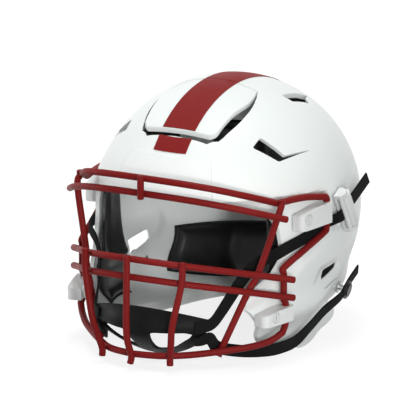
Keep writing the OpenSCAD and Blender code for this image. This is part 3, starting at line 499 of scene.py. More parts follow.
WHITE = (0.86, 0.89, 0.875)
MATS = {
    "shell_white": material("shell_white_gloss", WHITE, 0.32, bevel=0.9, mottle=0.006, grain=0.012, grain_size=3.0,
                            scuff=0.03, coat=0.2),
    "bumper_white": material("bumper_white_soft", (0.84, 0.86, 0.85), 0.5, bevel=0.6, mottle=0.02, cells=0.12,
                             cell_size=1.2, scuff=0.12),
    "stripe_red": material("stripe_red_film", (0.225, 0.009, 0.009), 0.55, mottle=0.05, grain=0.05, grain_size=2.0,
                           scuff=0.1, spec=0.12),
    "mask_red": material("mask_red_coating", (0.2, 0.009, 0.009), 0.5, mottle=0.08, grain=0.1, grain_size=1.6,
                         scuff=0.12, spec=0.09),
    "clip_white": material("clip_white_plastic", (0.8, 0.81, 0.81), 0.36, bevel=0.9, mottle=0.02, grain=0.06,
                           grain_size=1.2, scuff=0.12),
    "buckle_white": material("buckle_white_plastic", (0.78, 0.79, 0.79), 0.34, bevel=0.5, mottle=0.02, grain=0.05,
                             scuff=0.12),
    "hardware": material("hardware_steel", (0.56, 0.57, 0.58), 0.32, metal=1.0, bevel=0.3, mottle=0.06, scuff=0.12,
                         brushed=True),
    "cup_black": material("cup_black_plastic", (0.0055, 0.0055, 0.0055), 0.55, bevel=0.6, mottle=0.15, grain=0.1,
                          grain_size=0.8, scuff=0.1, spec=0.08),
    "snap_black": material("snap_black_plastic", (0.008, 0.008, 0.008), 0.42, bevel=0.5, mottle=0.15, scuff=0.12,
                           spec=0.3),
    "strap_black": material("strap_black_webbing", (0.007, 0.007, 0.0075), 0.85, mottle=0.12, sheen=0.02,
                            weave=(1.5, 1.5), spec=0.1),
    "pad_black": material("pad_black_vinyl", (0.012, 0.012, 0.012), 0.44, mottle=0.15, cells=0.15, cell_size=1.4,
                          scuff=0.12, spec=0.4),
    "cup_foam": material("cup_foam_knit", (0.013, 0.013, 0.0135), 0.85, mottle=0.12, cells=0.5, cell_size=0.9,
                         sheen=0.06, spec=0.15),
    "screw_white": material("screw_white_coated", (0.74, 0.75, 0.75), 0.4, bevel=0.3, mottle=0.04, scuff=0.15),
}


def paint(o, key):
    o.data.materials.clear()
    o.data.materials.append(MATS[key])


for sub in frame["record"]["subparts"]:
    paint(NODES[sub["node"]], sub["material_slot"])
paint(NODES["mask_clip_screws"], "screw_white")


def dress(o, slot, body, node):
    """The object with its material, on its body, in place of a node of the frame."""
    paint(o, slot)
    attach(o, body)
    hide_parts(node)
    return o


# ---------------------------------------------------------------- camera
AZIMUTH, ELEVATION = math.radians(30), math.radians(14.65)
AIM = Vector((-0.0279, 0.04055, 0.1066))
VIEW_WIDTH, LENS, SENSOR = 0.3985, 1500, 36
toward = Vector((math.sin(AZIMUTH) * math.cos(ELEVATION), -math.cos(AZIMUTH) * math.cos(ELEVATION),
                 math.sin(ELEVATION)))
camera = bpy.data.objects.new("camera", bpy.data.cameras.new("camera"))
bpy.context.scene.collection.objects.link(camera)
camera.data.lens, camera.data.sensor_width = LENS, SENSOR
distance = VIEW_WIDTH / 2 / (SENSOR / 2 / LENS)
camera.location = AIM + toward * distance
camera.rotation_mode = "QUATERNION"
camera.rotation_quaternion = (-toward).to_track_quat("-Z", "Y")
camera.data.clip_start, camera.data.clip_end = 1, 100
bpy.context.scene.camera = camera

# ---------------------------------------------------------------- shell
# Places in Y and Z where the side is moulded in, each with the width in mm of the step along the edge that follows it
POCKET_EDGE = [[-130, 156, 2.4], [-48, 155, 2.4], [-14, 152, 3], [-8, 140, 4], [10, 114, 4], [6, 109, 9],
               [-16, 103.5, 10], [-47, 87, 9], [-56, 78, 9], [-80, 66, 9], [-130, 45, 3]]
EAR_EDGE = [[-22, 78, 7], [-4, 81, 8], [27, 87, 8], [58, 90, 10], [60, 74, 12], [44, 60, 12], [0, 50, 12],
            [-26, 58, 10]]
EAR_DIP, STEP_ROUND = 4.0, 1.1
# Height of the skin's lowest row, which the table cuts off, and height where the rim's flare ends
SKIN_FOOT, SKIN_FLARE = -11, 24
BUCKLE, BUCKLE_LEAN, SNAP, SNAP_LEAN = (3, 129.5), 25, (26, 47), 27
UPPER_CLIP, LOWER_CLIP = (-40, 132.5), (-93, 46.5)
UPPER_BOLT, LOWER_BOLT = -13, -5
BOLT_BORE, STUD_BORE, BORE_DEPTH = 4.5, 2.3, 18
# The shell's brow edge falls to the rear with this slope, from BROW_Z at this reach ahead of the ear line
SLOPE, BROW_REACH = 0.375, 140
FAR, ASIDE = 300, 200
OPENING = [[-FAR, -30], [-FAR, FAR], [-150, BROW_Z + 10 * SLOPE], [-100, BROW_Z - 40 * SLOPE], [-82, 138],
           [-75, 124], [-73, 110], [-74, 96], [-83, 84], [-102, 71], [-112, 62], [-117, 54], [-109, 44], [-88, 20],
           [-82, 14], [-66, 9], [-46, 7], [-38, 5], [-34, 0], [-34, -30]]
EAR_PLACE, EAR_LONG, EAR_HIGH = (17, 65), 24, 10
EAR = [[-EAR_LONG, 0.5 * EAR_HIGH], [0.5 * EAR_LONG, 0.9 * EAR_HIGH], [0.46 * EAR_LONG, -0.1 * EAR_HIGH],
       [-0.94 * EAR_LONG, -0.9 * EAR_HIGH]]
EAR_LEDGE = [[-EAR_LONG - 0.5, 0.55 * EAR_HIGH], [0.72 * EAR_LONG, 1.05 * EAR_HIGH],
             [1.1 * EAR_LONG, -0.5 * EAR_HIGH], [-0.82 * EAR_LONG, -1.75 * EAR_HIGH]]
LEDGE_DEPTH = 6.5
VENT_PLACE, VENT = (-52, 196), [[-24, 6], [-12, 14.5], [6, -8], [39, -5], [-3, -13]]
CROWN_VENT = [[54, 10], [53, 61], [60.5, 43], [66.5, 40], [63.5, 14]]
SLOT_X, SLOT_HALF, SLOT_RADIUS, SLOT_TILT = 34, 9, 3.5, 50
ACROSS = np.array([[1, 0, 0], [0, 1, 0], [0, 0, 1]], float)
UPWARDS = np.array([[0, 0, 1], [1, 0, 0], [0, 1, 0]], float)
FORWARDS = np.array([[0, -1, 0], [1, 0, 0], [0, 0, 1]], float)


def bend(t, width):
    """Even slope from 0 to 1 with both its ends rounded over about a mm."""
    r = min(0.5, STEP_ROUND / width)
    t = t * (1 + 2 * r) - r

    def soft(x):
        return np.where(x < -r, 0, np.where(x > r, x, (np.clip(x, -r, r) + r) ** 2 / (4 * r)))
    return soft(t) - soft(t - 1)


def moulded(edge, y, z):
    """Share of a recess's depth: 0 outside its outline, and 1 inside it beyond each edge's step."""
    p = np.asarray(edge, float)
    depth = np.ones(y.shape)
    odd = np.zeros(y.shape, bool)
    for a, b in zip(p, np.roll(p, -1, axis=0)):
        e = b - a
        t = np.clip(((y - a[0]) * e[0] + (z - a[1]) * e[1]) / (e[0] ** 2 + e[1] ** 2), 0, 1)
        depth = np.minimum(depth, bend(np.hypot(y - a[0] - t * e[0], z - a[1] - t * e[1]) / a[2], a[2]))
        cross = (a[1] > z) != (b[1] > z)
        with np.errstate(divide="ignore", invalid="ignore"):
            odd ^= cross & (y < (b[0] - a[0]) * (z - a[1]) / (b[1] - a[1]) + a[0])
    return np.where(odd, depth, 0)


def recess(y, z):
    """Depth of the clip recess and of the dip round the ear hole."""
    return np.maximum(POCKET * moulded(POCKET_EDGE, y, z), EAR_DIP * moulded(EAR_EDGE, y, z))


def skin(name, inset, cols, low_rows, side_rows, dome_rows):
    """Closed solid inside the shell's surface less an inset, with the recesses moulded in."""
    turns = 360 * np.arange(cols) / cols
    rings = []
    for z in np.concatenate([np.linspace(SKIN_FOOT, SKIN_FLARE, low_rows, endpoint=False),
                             np.linspace(SKIN_FLARE, EQUATOR, side_rows, endpoint=False)]):
        base = on_ring(turns, z)
        rings.append(on_ring(turns, z, inset + recess(base[:, 1], base[:, 2])))
    for rise in np.radians(np.linspace(0, 89, dome_rows)):
        base = on_ring(turns, EQUATOR + (DOME - 1e-6) * math.sin(rise))
        d = inset + recess(base[:, 1], base[:, 2])
        rings.append(on_ring(turns, EQUATOR + (DOME - d) * math.sin(rise), d))
    v = np.concatenate([*rings, [[0, 0, SKIN_FOOT], [0, 0, SHELL_HEIGHT - inset]]])
    faces = [list(reversed(f)) for f in loft_faces(len(rings), cols, closed_ends=False)]
    top = (len(rings) - 1) * cols
    faces += [[(k + 1) % cols, k, len(v) - 2] for k in range(cols)]
    faces += [[top + k, top + (k + 1) % cols, len(v) - 1] for k in range(cols)]
    return new_object(name, v, faces)


def side_cut(y, z, outline, depth=15, spread=None, near=-15):
    part = prism(outline, on_side(y, z), side_frame(y, z), near, depth, spread)
    return [part, mirrored_part(part)]


def bore(y, z, lean, radius, shift=0.0, level=False, inset=0.0):
    ring = [[shift + radius * math.cos(a), radius * math.sin(a)] for a in np.linspace(0, 2 * math.pi, 24, False)]
    part = prism(ring, on_side(y, z, inset), side_frame(y, z, lean, level), -BORE_DEPTH, BORE_DEPTH)
    return [part, mirrored_part(part)]


def panel_hole():
    t = np.array([0, 0.06, 0.12, 0.18, 0.24, 0.3, 0.36, 0.43, 0.5, 0.57, 0.64, 0.69, 0.74, 0.79, 0.84, 0.9, 0.96, 1])
    side = [[x, y] for x, y in zip(panel_half(t) + row_at(PANEL_ROWS, 2, t), panel_y(t))]
    half = [[side[0][0], 0.5 - PANEL_ROOT]] + side
    half += [[side[-1][0] - 4, -PANEL_FRONT - 4], [12, -PANEL_FRONT - 6.5]]
    outline = np.array(half + [[-x, y] for x, y in reversed(half)])
    return prism(outline, np.zeros(3), UPWARDS, EQUATOR + 30, EQUATOR + 30 + DOME)


def crown_vents():
    part = prism(softened(CROWN_VENT, 0.2, 1.5), np.zeros(3), UPWARDS, EQUATOR + DOME / 2, EQUATOR + DOME * 1.5)
    return [part, mirrored_part(part)]


def back_slots():
    parts = []
    tilt = math.radians(SLOT_TILT)
    axes = np.array([[0, math.sin(tilt), math.cos(tilt)], [1, 0, 0], [0, math.cos(tilt), -math.sin(tilt)]])
    for x in (-SLOT_X, SLOT_X):
        ring = [[k * (SLOT_HALF + SLOT_RADIUS * math.cos(a)), k * SLOT_RADIUS * math.sin(a)] for k in (1, -1)
                for a in np.linspace(-math.pi / 2, math.pi / 2, 9)]
        parts.append(prism(ring, np.array([x, 100, 196.0]), axes, -30, 30))
    return parts


def build_shell():
    outer = skin("shell_body", 0, cols=480, low_rows=18, side_rows=58, dome_rows=84)
    inner = skin("shell_inside", WALL, cols=300, low_rows=12, side_rows=36, dome_rows=56)
    opening = prism(softened(OPENING), np.zeros(3), ACROSS, -ASIDE, ASIDE)
    table = prism([[-FAR, -40], [FAR, -40], [FAR, 0], [-FAR, 0]], np.zeros(3), ACROSS, -ASIDE, ASIDE)
    ear = softened(EAR, 0.25, 2.5)
    holes = side_cut(*VENT_PLACE, softened(VENT, 0.2, 2)) + crown_vents() + back_slots() + [panel_hole()]
    holes += side_cut(*EAR_PLACE, ear)
    holes += bore(*UPPER_CLIP, 0, BOLT_BORE, UPPER_BOLT, True, POCKET)
    holes += bore(*LOWER_CLIP, 0, BOLT_BORE, LOWER_BOLT, True)
    holes += bore(*BUCKLE, BUCKLE_LEAN, STUD_BORE) + bore(*SNAP, SNAP_LEAN, STUD_BORE)
    ledge = side_cut(*EAR_PLACE, ear, 0.5, softened(EAR_LEDGE, 0.25, 2.5), -LEDGE_DEPTH)
    combined(outer, "DIFFERENCE", inner, new_object("cut_opening", *opening), new_object("cut_table", *table),
             joined("cut_holes", holes), joined("cut_ledge", ledge))
    return shaded(outer, 32)


dress(build_shell(), "shell_white", "helmet", "shell")


def grid(rows, cols):
    return np.linspace(0, 1, cols)[None, :], np.linspace(0, 1, rows)[:, None]


def plate(name, at, rows, cols, out, back, width):
    """Solid between the outer and the inner face of a curved patch, with its edges rounded over a width in mm."""
    u, v = grid(rows, cols)
    o = new_object(name, *slab_data(at(u, v, out), at(u, v, back)))
    return rounded(o, width)


def panel_at(u, v, inset):
    t = 1 - v
    return on_panel(mix(-1, 1, u) * panel_half(t), panel_y(t) + 0 * u, inset)


dress(plate("flex_panel_body", panel_at, rows=46, cols=44, out=0, back=WALL, width=0.9), "shell_white", "panel",
      "flex_panel")
BUMPER_THICK, BUMPER_TOP = 2.8, PANEL_EDGE - 21
# Shares of the shell's half width that the bumper spans at its foot and at its top
BUMPER_SPAN = 0.48, 0.35


def bumper_at(u, v, proud):
    x = mix(-1, 1, u) * mix(*BUMPER_SPAN, v) * HALF
    foot = on_front(x, BROW_Z)[..., 1]
    low = BROW_Z - 1.5 - SLOPE * (foot + BROW_REACH)
    return on_front(x, mix(low, BUMPER_TOP, v), -(mix(BUMPER_THICK, 1, v) if proud else GAP))


dress(plate("brow_bumper_body", bumper_at, rows=26, cols=80, out=True, back=False, width=0.8), "bumper_white",
      "helmet", "brow_bumper")

# How far the film's back stands off the shell, and how far the film is lifted, with the height of the rear stripe's
# foot and the mean radius of its arch over the crown
FILM_BACK, FILM_LIFT, STRIPE_FOOT, ARCH = 0.08, 0.15, 36, 130


def stripe_x(u):
    return (u - 0.5) * STRIPE_WIDTH


def stripe_front_at(u, v, inset):
    return on_front(stripe_x(u), PANEL_EDGE - mix(18, 6, v) + 0 * u, inset)


def stripe_panel_at(u, v, inset):
    return on_panel(stripe_x(u), panel_y(0.995 * (1 - v)) + 0 * u, inset)


def stripe_rear_at(u, v, inset):
    end = 90 + PANEL_ROOT * 0.38
    share = (EQUATOR - STRIPE_FOOT) / (EQUATOR - STRIPE_FOOT + ARCH * math.radians(end))
    low = on_back(-stripe_x(u), mix(STRIPE_FOOT, EQUATOR, np.minimum(v / share, 1)) + 0 * u, inset)
    high = on_arch(-stripe_x(u) + 0 * v, end * np.maximum((v - share) / (1 - share), 0) + 0 * u, inset)
    return np.where((v <= share)[..., None], low, high)


for name, at, rows, body in (("stripe_front", stripe_front_at, 12, "helmet"),
                             ("stripe_panel", stripe_panel_at, 50, "panel"),
                             ("stripe_rear", stripe_rear_at, 110, "helmet")):
    u, v = grid(rows, 22)
    film = new_object(name + "_film", *slab_data(at(u, v, -FILM_LIFT - STRIPE_FILM), at(u, v, -FILM_BACK)), sharp=40)
    dress(film, "stripe_red", body, name)


# ---------------------------------------------------------------- face mask
def tilted(p, z, reach, tilt):
    return [p[0], p[1], z - tilt * (p[1] + reach)]


def both_sides(path):
    path = np.asarray(path)
    return np.concatenate([(path[1:] * [-1, 1, 1])[::-1], path])


# Steps between the points of a hoop, and how much the hoops rise for each mm to the front
HOOP, CHEEK_TILT, BROW_TILT = 10, 0.275, 0.38


def cheek(z):
    return both_sides(spline([tilted(p, z, MASK_REACH, CHEEK_TILT) for p in (
        [0, -MASK_REACH], [0.224 * MASK_HALF, 3 - MASK_REACH], [0.407 * MASK_HALF, 13 - MASK_REACH],
        [0.62 * MASK_HALF, 40 - MASK_REACH], [0.822 * MASK_HALF, 75 - MASK_REACH], [MASK_HALF, -81.5])], HOOP))


def beside(path, x, off, rise=0.0):
    """Place on a hoop where it passes a given half width, moved off it by a distance (inwards is positive)."""
    path = np.asarray(path)
    i = len(path) // 2
    while path[i + 1][0] < x:
        i += 1
    a, b = path[i], path[i + 1]
    d = unit([b[0] - a[0], b[1] - a[1], 0])
    return mix(a, b, (x - a[0]) / (b[0] - a[0])) + off * np.array([-d[1], d[0], 0]) + [0, 0, rise]


STANDOFF = GAP * 4 + STRAP_THICK + WIRE_D / 2
upper_leg = on_side(UPPER_CLIP[0] + 20.5, UPPER_CLIP[1], POCKET) + [STANDOFF, 0, 0]
lower_leg = on_side(LOWER_CLIP[0] + 12.5, LOWER_CLIP[1]) + [8, 0, 0]
cheek_upper, cheek_lower = cheek(CHEEK_Z), cheek(CHEEK_Z - CHEEK_PITCH)
REACH = 156
brow_lower = both_sides(spline([tilted(p, BROW_WIRE_Z - BROW_PITCH, REACH, BROW_TILT) for p in (
    [0, -REACH], [0.33 * MASK_HALF, 2 - REACH], [0.57 * MASK_HALF, 12 - REACH], [0.785 * MASK_HALF, 33 - REACH],
    [MASK_HALF - 2, -92])], HOOP))
TEMPLE = 0.862 * MASK_HALF
temple = np.array([TEMPLE, -85, BROW_WIRE_Z - 27])
brow_half = np.concatenate([
    spline([tilted(p, BROW_WIRE_Z, REACH, BROW_TILT) for p in (
        [0, -REACH], [0.33 * MASK_HALF, 3 - REACH], [0.56 * MASK_HALF, 13 - REACH], [0.706 * MASK_HALF, 33 - REACH],
        [TEMPLE - 6, 54 - REACH], [TEMPLE, -85])], HOOP)[:-1],
    spline([tilted([TEMPLE, -85], BROW_WIRE_Z, REACH, BROW_TILT), mix(temple, upper_leg, 0.5) + [0, 0, 9.5],
            upper_leg + [0, -7, 16], upper_leg + [0, -1.5, 14], upper_leg + [0, 0, 10.5], upper_leg], 5)])
brow_upper = both_sides(brow_half)
JAW, JAW_Z, WIRE_END = MASK_REACH - 7, 14, 6
OUTER_X = MASK_HALF - 5.5
jaw_turn = lower_leg + [0, -6, -18]
jaw = both_sides(np.concatenate([
    spline([[0, -JAW, JAW_Z], [28, 7 - JAW, JAW_Z], [52, 27 - JAW, JAW_Z], [0.697 * MASK_HALF, -118, 17],
            [0.838 * MASK_HALF, -98, 21], jaw_turn], HOOP)[:-1],
    spline([jaw_turn, lower_leg + [0, -1, -12], lower_leg + [0, 0, -8], lower_leg + [0, 0, -0.1]], 4)]))
foot = beside(jaw, 33, -LAP)
side_foot = beside(jaw, 71, LAP)


def beside_pocket(y, z, extra):
    return on_side(y, z, POCKET) + [STANDOFF + extra, 0, 0]


wires = {
    "brow_wire_upper": brow_upper, "brow_wire_lower": brow_lower, "cheek_wire_upper": cheek_upper,
    "cheek_wire_lower": cheek_lower, "jaw_wire": jaw,
    "brow_link": np.array([[0, -REACH - LAP, BROW_WIRE_Z + 4], [0, -REACH - LAP, 172],
                           [0, -REACH - LAP, BROW_WIRE_Z - 4 - BROW_PITCH]]),
    "centre_wire": spline([beside(cheek_upper, 0, -LAP, 5), beside(cheek_lower, 0, -LAP),
                           [0, -MASK_REACH - LAP, 48], [0, -MASK_REACH - LAP + 2, 30], beside(jaw, 0, -LAP),
                           [0, -JAW - LAP, WIRE_END]], 6),
}
sided = {
    "front_wire": [beside(cheek_upper, 48.8, -LAP, 5), beside(cheek_upper, 48.8, -LAP), beside(cheek_lower, 48, -LAP),
                   [44, 4 - MASK_REACH, 48], [40, 8 - MASK_REACH, 28], foot,
                   [foot[0], foot[1], WIRE_END]],
    "side_wire": [beside(brow_upper, TEMPLE - 0.3, -LAP, 5), beside(brow_upper, TEMPLE - 0.3, -LAP),
                  beside(brow_lower, MASK_HALF - 6, LAP), beside(cheek_upper, 0.822 * MASK_HALF, LAP),
                  beside(cheek_lower, 0.776 * MASK_HALF, LAP), side_foot, side_foot + [-1.5, -1, -5]],
    "outer_wire": [upper_leg - [0, 0, 0.1], upper_leg - [0, 0, 11], beside_pocket(-22, 117, 0.6),
                   beside_pocket(-26, 113.5, 0.8), beside_pocket(-56, 101.5, 1.2),
                   beside(cheek_upper, OUTER_X, LAP, 9), beside(cheek_upper, OUTER_X, LAP, 3),
                   beside(cheek_lower, OUTER_X, LAP), beside(cheek_lower, OUTER_X, LAP, -4),
                   lower_leg + [0, -0.8, 10.5], lower_leg + [0, 0, 8], lower_leg],
}
for key, path in sided.items():
    path = spline(path, 5)
    wires[key + "_left"], wires[key + "_right"] = path, path * [-1, 1, 1]
for key, path in wires.items():
    dress(new_object(key + "_rod", *tube(path, WIRE_D / 2), sharp=60), "mask_red", "helmet", key)


# ---------------------------------------------------------------- cam buckles
FLOOR_N, PLATE, POST, LEVER = 2.6, 2.4, 3.5, 34
PIN_N = FLOOR_N + PLATE + STRAP_THICK + 2 * GAP + 3
SPAN = LEVER + 2 * GAP + 2 * POST


def buckle_part(outline, low, high):
    """Extrusion along the buckle's length of an outline in its first axis, outwards, and its second, to the rear."""
    v, f = prism(outline, np.zeros(3), UPWARDS, low, high)
    axes = side_frame(*BUCKLE, BUCKLE_LEAN)
    return on_side(*BUCKLE) + v @ axes, f


def arc(n, s, radius, start, end, steps=8):
    return [[n + radius * math.cos(a), s + radius * math.sin(a)] for a in np.radians(np.linspace(start, end, steps))]


CHEEK = [[FLOOR_N, -6.8], [FLOOR_N, 7.8], [FLOOR_N + 4, 7.8], [PIN_N + 2.4, 3.6]] + arc(PIN_N, -1, 3.2, 50, -60, 7)
CHEEK += [[FLOOR_N + 7, -6.8]]
FRAME = [([[FLOOR_N, -7], [FLOOR_N, 8], [FLOOR_N + PLATE, 8], [FLOOR_N + PLATE, -7]], -SPAN / 2 + 1, SPAN / 2 - 1),
         (CHEEK, -SPAN / 2, POST - SPAN / 2), (CHEEK, SPAN / 2 - POST, SPAN / 2),
         ([[7.6, -6.8], [7.6, -3.4], [10.6, -3.4], [10.6, -5.4], [9.6, -6.8]], -SPAN / 2 + 1, SPAN / 2 - 1)]
FLAP = arc(PIN_N, 0, 2.9, 270, 120, 12) + [[7.9, 4.5], [8.6, 10.4], [10.4, 10.8], [13.1, 6], [13.5, 2]]
FLAP += arc(PIN_N, 0, 2.9, 30, -60, 8)
for word, side in (("left", 1), ("right", -1)):
    for key, body, parts, width in (("buckle_base_", "helmet", FRAME, 0.5),
                                    ("buckle_lever_", "lever_" + word, [(FLAP, -LEVER / 2, LEVER / 2)], 0.7)):
        solids = [buckle_part(*q) for q in parts]
        if side < 0:
            solids = [mirrored_part(q) for q in solids]
        o = joined(key + word + "_moulded", solids[:1])
        combined(o, "UNION", *(joined("buckle_add", [q]) for q in solids[1:]))
        dress(rounded(o, width, 30), "buckle_white", body, key + word)

# ---------------------------------------------------------------- chin cup and its pad
def cup_at(s, t):
    s, t = np.broadcast_arrays(np.asarray(s, float), np.asarray(t, float))
    top = points(CUP_HALF * s, -162 + 22 * s * s, 57 - 10 * s * s)
    mid = points((CUP_HALF - 1) * s, -169 + 27 * s * s, 31 + 5 * s * s)
    low = points((CUP_HALF - 7) * s, -132 - 9 * s * s, 5 + 20 * s * s)
    t = t[..., None]
    return top * (2 * t - 1) * (t - 1) + mid * 4 * t * (1 - t) + low * t * (2 * t - 1)


def cup_deep(s, t, depth):
    d = 0.02
    n = unit(np.cross(cup_at(s, t + d) - cup_at(s, t - d), cup_at(s + d, t) - cup_at(s - d, t)))
    return cup_at(s, t) - np.asarray(depth)[..., None] * n


def cup_window(outline):
    parts = []
    for side in (-1, 1):
        ring = [cup_at(s, t) * [side, 1, 1] for s, t in outline]
        parts.append(prism([[p[0], p[2]] for p in ring], np.zeros(3), FORWARDS, 60, 220))
    return parts


def build_cup():
    u, v = grid(60, 120)
    s, t = mix(-1, 1, u) + 0 * v, 1 - v + 0 * u
    o = new_object("chin_cup_body", *slab_data(cup_deep(s, t, 0 * s), cup_deep(s, t, 0 * s + CUP_WALL)))
    window = softened([[0.2, 0.45], [0.3, 0.43], [0.72, 0.46], [0.82, 0.54], [0.78, 0.64], [0.57, 0.79], [0.44, 0.84],
                       [0.14, 0.84]], 0.2, 1)
    combined(o, "DIFFERENCE", joined("cut_window", cup_window(window)))
    return shaded(o, 35)


dress(build_cup(), "cup_black", "chin_rest", "chin_cup")
# Share of the cup's half width that its pad covers
CUP_SPAN = 0.86


def edge_round(u, v, width, height, reach, flange=0.0):
    """Quarter-round profile at a pad's edges, 0 up to its flange and 1 beyond a reach in mm."""
    d = (np.minimum(np.minimum(u, 1 - u) * width, np.minimum(v, 1 - v) * height) - flange) / reach
    e = 1 - np.clip(d, 0, 1)
    return np.sqrt(np.maximum(0, 1 - e * e))


def cup_pad():
    u, v = grid(36, 72)
    s, t = mix(-CUP_SPAN, CUP_SPAN, u) + 0 * v, mix(0.41, 0.03, v) + 0 * u
    near = CUP_WALL + GAP
    bulge = (1 - (np.abs(s) / CUP_SPAN) ** 6) * (1 - (np.abs(2 * t - 0.44) / 0.38) ** 4)
    crown = near + CUP_PAD * (0.35 + 0.65 * bulge)
    crown = mix(near + 0.8, crown, edge_round(u, v, 120, 16, 3))
    return new_object("chin_cup_cushion", *slab_data(cup_deep(s, t, 0 * s + near), cup_deep(s, t, crown)), sharp=70)


cushion = dress(cup_pad(), "cup_foam", "chin_rest", "chin_cup_pad")

# ---------------------------------------------------------------- straps
OFF = STRAP_THICK / 2 + GAP


def over_pocket(y, z, extra):
    n = side_frame(y, z)[0]
    return [on_side(y, z, POCKET) + (OFF + extra) * n, n]


def at_frame(place, lean, n, s):
    f = side_frame(*place, lean)
    return [on_side(*place) + n * f[0] + s * f[1], f[0]]


def station(x, y, z, *face):
    return [np.array([x, y, z], float), np.array(face, float)]


def on_cup(s, t, extra):
    """Station of a strap's end that lies on the cup's outside."""
    inner, outer = cup_deep(np.float64(s), np.float64(t), 1.0), cup_at(s, t)
    return [outer + (OFF + extra) * (outer - inner), outer - inner]


SNAP_FACE = 6
strap_n, snap_n = FLOOR_N + PLATE + OFF, SNAP_FACE + OFF
cup_tip, cup_low_tip = cup_at(1, 0.2), cup_at(1, 0.78)
edge_face = np.array([0.9, -0.45, 0])
upper_route = [on_cup(0.84, 0.3, 0.4), on_cup(0.93, 0.28, 0.4), [cup_tip + [OFF + 1.6, 3, 1], edge_face],
               station(68, -127, 54, 0.85, -0.5, 0), station(77, -107, 79, 0.8, -0.6, 0.1),
               station(87, -96, 94, 0.85, -0.5, 0.1), over_pocket(-82, 103, 2), over_pocket(-66, 107, 0.6),
               over_pocket(-50, 110.5, 0.2), over_pocket(-35, 114, 0.2), over_pocket(-22, 117.6, 0.1),
               over_pocket(-15, 119.8, 0.5)]
upper_route += [at_frame(BUCKLE, BUCKLE_LEAN, strap_n + d, s) for s, d in ((-10, 0), (0, 0), (12, 0), (50, 1))]
lower_route = [on_cup(0.84, 0.73, 2), on_cup(0.93, 0.78, 2.2), [cup_low_tip + [OFF + 2.6, 3, -1.5], edge_face],
               station(60.5, -122.5, 16, 0.9, -0.45, 0), station(75, -102, 9.5, 0.8, -0.6, 0),
               station(91, -84, 8, 0.8, -0.6, 0), station(97.5, -66, 7.8, 1, -0.2, 0),
               station(100.5, -44, 9.5, 1, -0.1, 0), station(104.2, -24, 19, 1, 0, -0.15),
               station(108.3, -4, 30.5, 1, 0, -0.2)]
lower_route += [at_frame(SNAP, SNAP_LEAN, snap_n + d, s) for s, d in ((-12, 0), (0, 0), (12, 0), (30, 1))]


def strap(name, route, side):
    v, faces, along, across = ribbon(route, 6, STRAP_WIDTH, STRAP_THICK)
    if side < 0:
        v, faces = mirrored_part((v, faces))
    o = new_object(name + "_webbing", v, faces, sharp=50)
    uv = o.data.uv_layers.new(name="length")
    n = len(across)
    index = np.zeros(len(o.data.loops), int)
    o.data.loops.foreach_get("vertex_index", index)
    uv.data.foreach_set("uv", np.stack([along[index // n], across[index % n]], -1).ravel())
    return o


for key, route, reach in (("upper_strap", upper_route, 5), ("lower_strap", lower_route, 6)):
    for word, side in (("left", 1), ("right", -1)):
        node = key + "_" + word
        o = strap(node, route, side)
        paint(o, "strap_black")
        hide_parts(node)
        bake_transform(o)


# ---------------------------------------------------------------- pads
def puff(u, v):
    return 0.45 + 0.55 * (1 - np.abs(2 * u - 1) ** 4) * (1 - np.abs(2 * v - 1) ** 4)


def channel(w, count):
    return 1 - 0.3 * np.abs(np.cos(np.pi * w * count)) ** 10


SEAT, LINER, JAW_PAD, REAR_PAD = WALL + 0.8, 18, 11, 13
FLANGE, FLANGE_THICK, EDGE_REACH, DRAW = 2.2, 1.4, 7, 0.036
SIDE_FRONT, SIDE_REAR, JAW_FOOT = -14, 62, 27


def pad(name, node, body, at, seat, thick, size, side=1, rows=44, cols=60):
    """Cushion on the inner face: flat where it rests, crowned, with rounded edges and sides that draw in."""
    u, v = (0.5 - 0.5 * np.cos(np.pi * k) for k in grid(rows, cols))
    uu = 0.5 + (u - 0.5) * (1 - DRAW * (1 - (2 * v - 1) ** 2))
    vv = 0.5 + (v - 0.5) * (1 - DRAW * (1 - (2 * u - 1) ** 2))
    base = seat(uu, vv) + 0 * (uu + vv)
    crown = thick(uu, vv)
    top = base + FLANGE_THICK + (crown - FLANGE_THICK) * edge_round(u, v, *size, EDGE_REACH, FLANGE)
    part = slab_data(at(uu, vv, base), at(uu, vv, top))
    if side < 0:
        part = mirrored_part(part)
    dress(new_object(name, *part, sharp=75), "pad_black", body, node)


def front_at(u, v, inset):
    return on_ring(mix(-124, -56, u), mix(167, 195, v), inset)


def panel_pad_at(u, v, inset):
    return on_panel(mix(-31, 31, u), mix(-82, -18, v), inset)


def crown_at(u, v, inset):
    return on_crown(mix(-50, 50, u), mix(2, 84, v), inset)


def back_at(u, v, inset):
    return on_ring(mix(48, 132, u), mix(92, 172, v), inset)


def side_at(u, v, inset):
    return on_side(mix(SIDE_FRONT, SIDE_REAR, u), mix(129, 174, v), inset)


def rear_at(u, v, inset):
    return on_ring(90 + (u - 0.5) * mix(143, 122, v), mix(mix(18, 34, np.abs(2 * u - 1) ** 3), 72, v), inset)


JAW_FRONT = [[0, -70], [0.3, -80], [1, -77]]


def jaw_at(u, v, inset):
    return on_side(mix(row_at(JAW_FRONT, 1, v), -25, u), JAW_FOOT + v * mix(117, 103, u), inset)


def jaw_seat(u, v):
    return SEAT + 0.9 * (1 - ease(2.5 * v)) + 10.6 * ease((JAW_FOOT + v * 110 - 60) / 14)


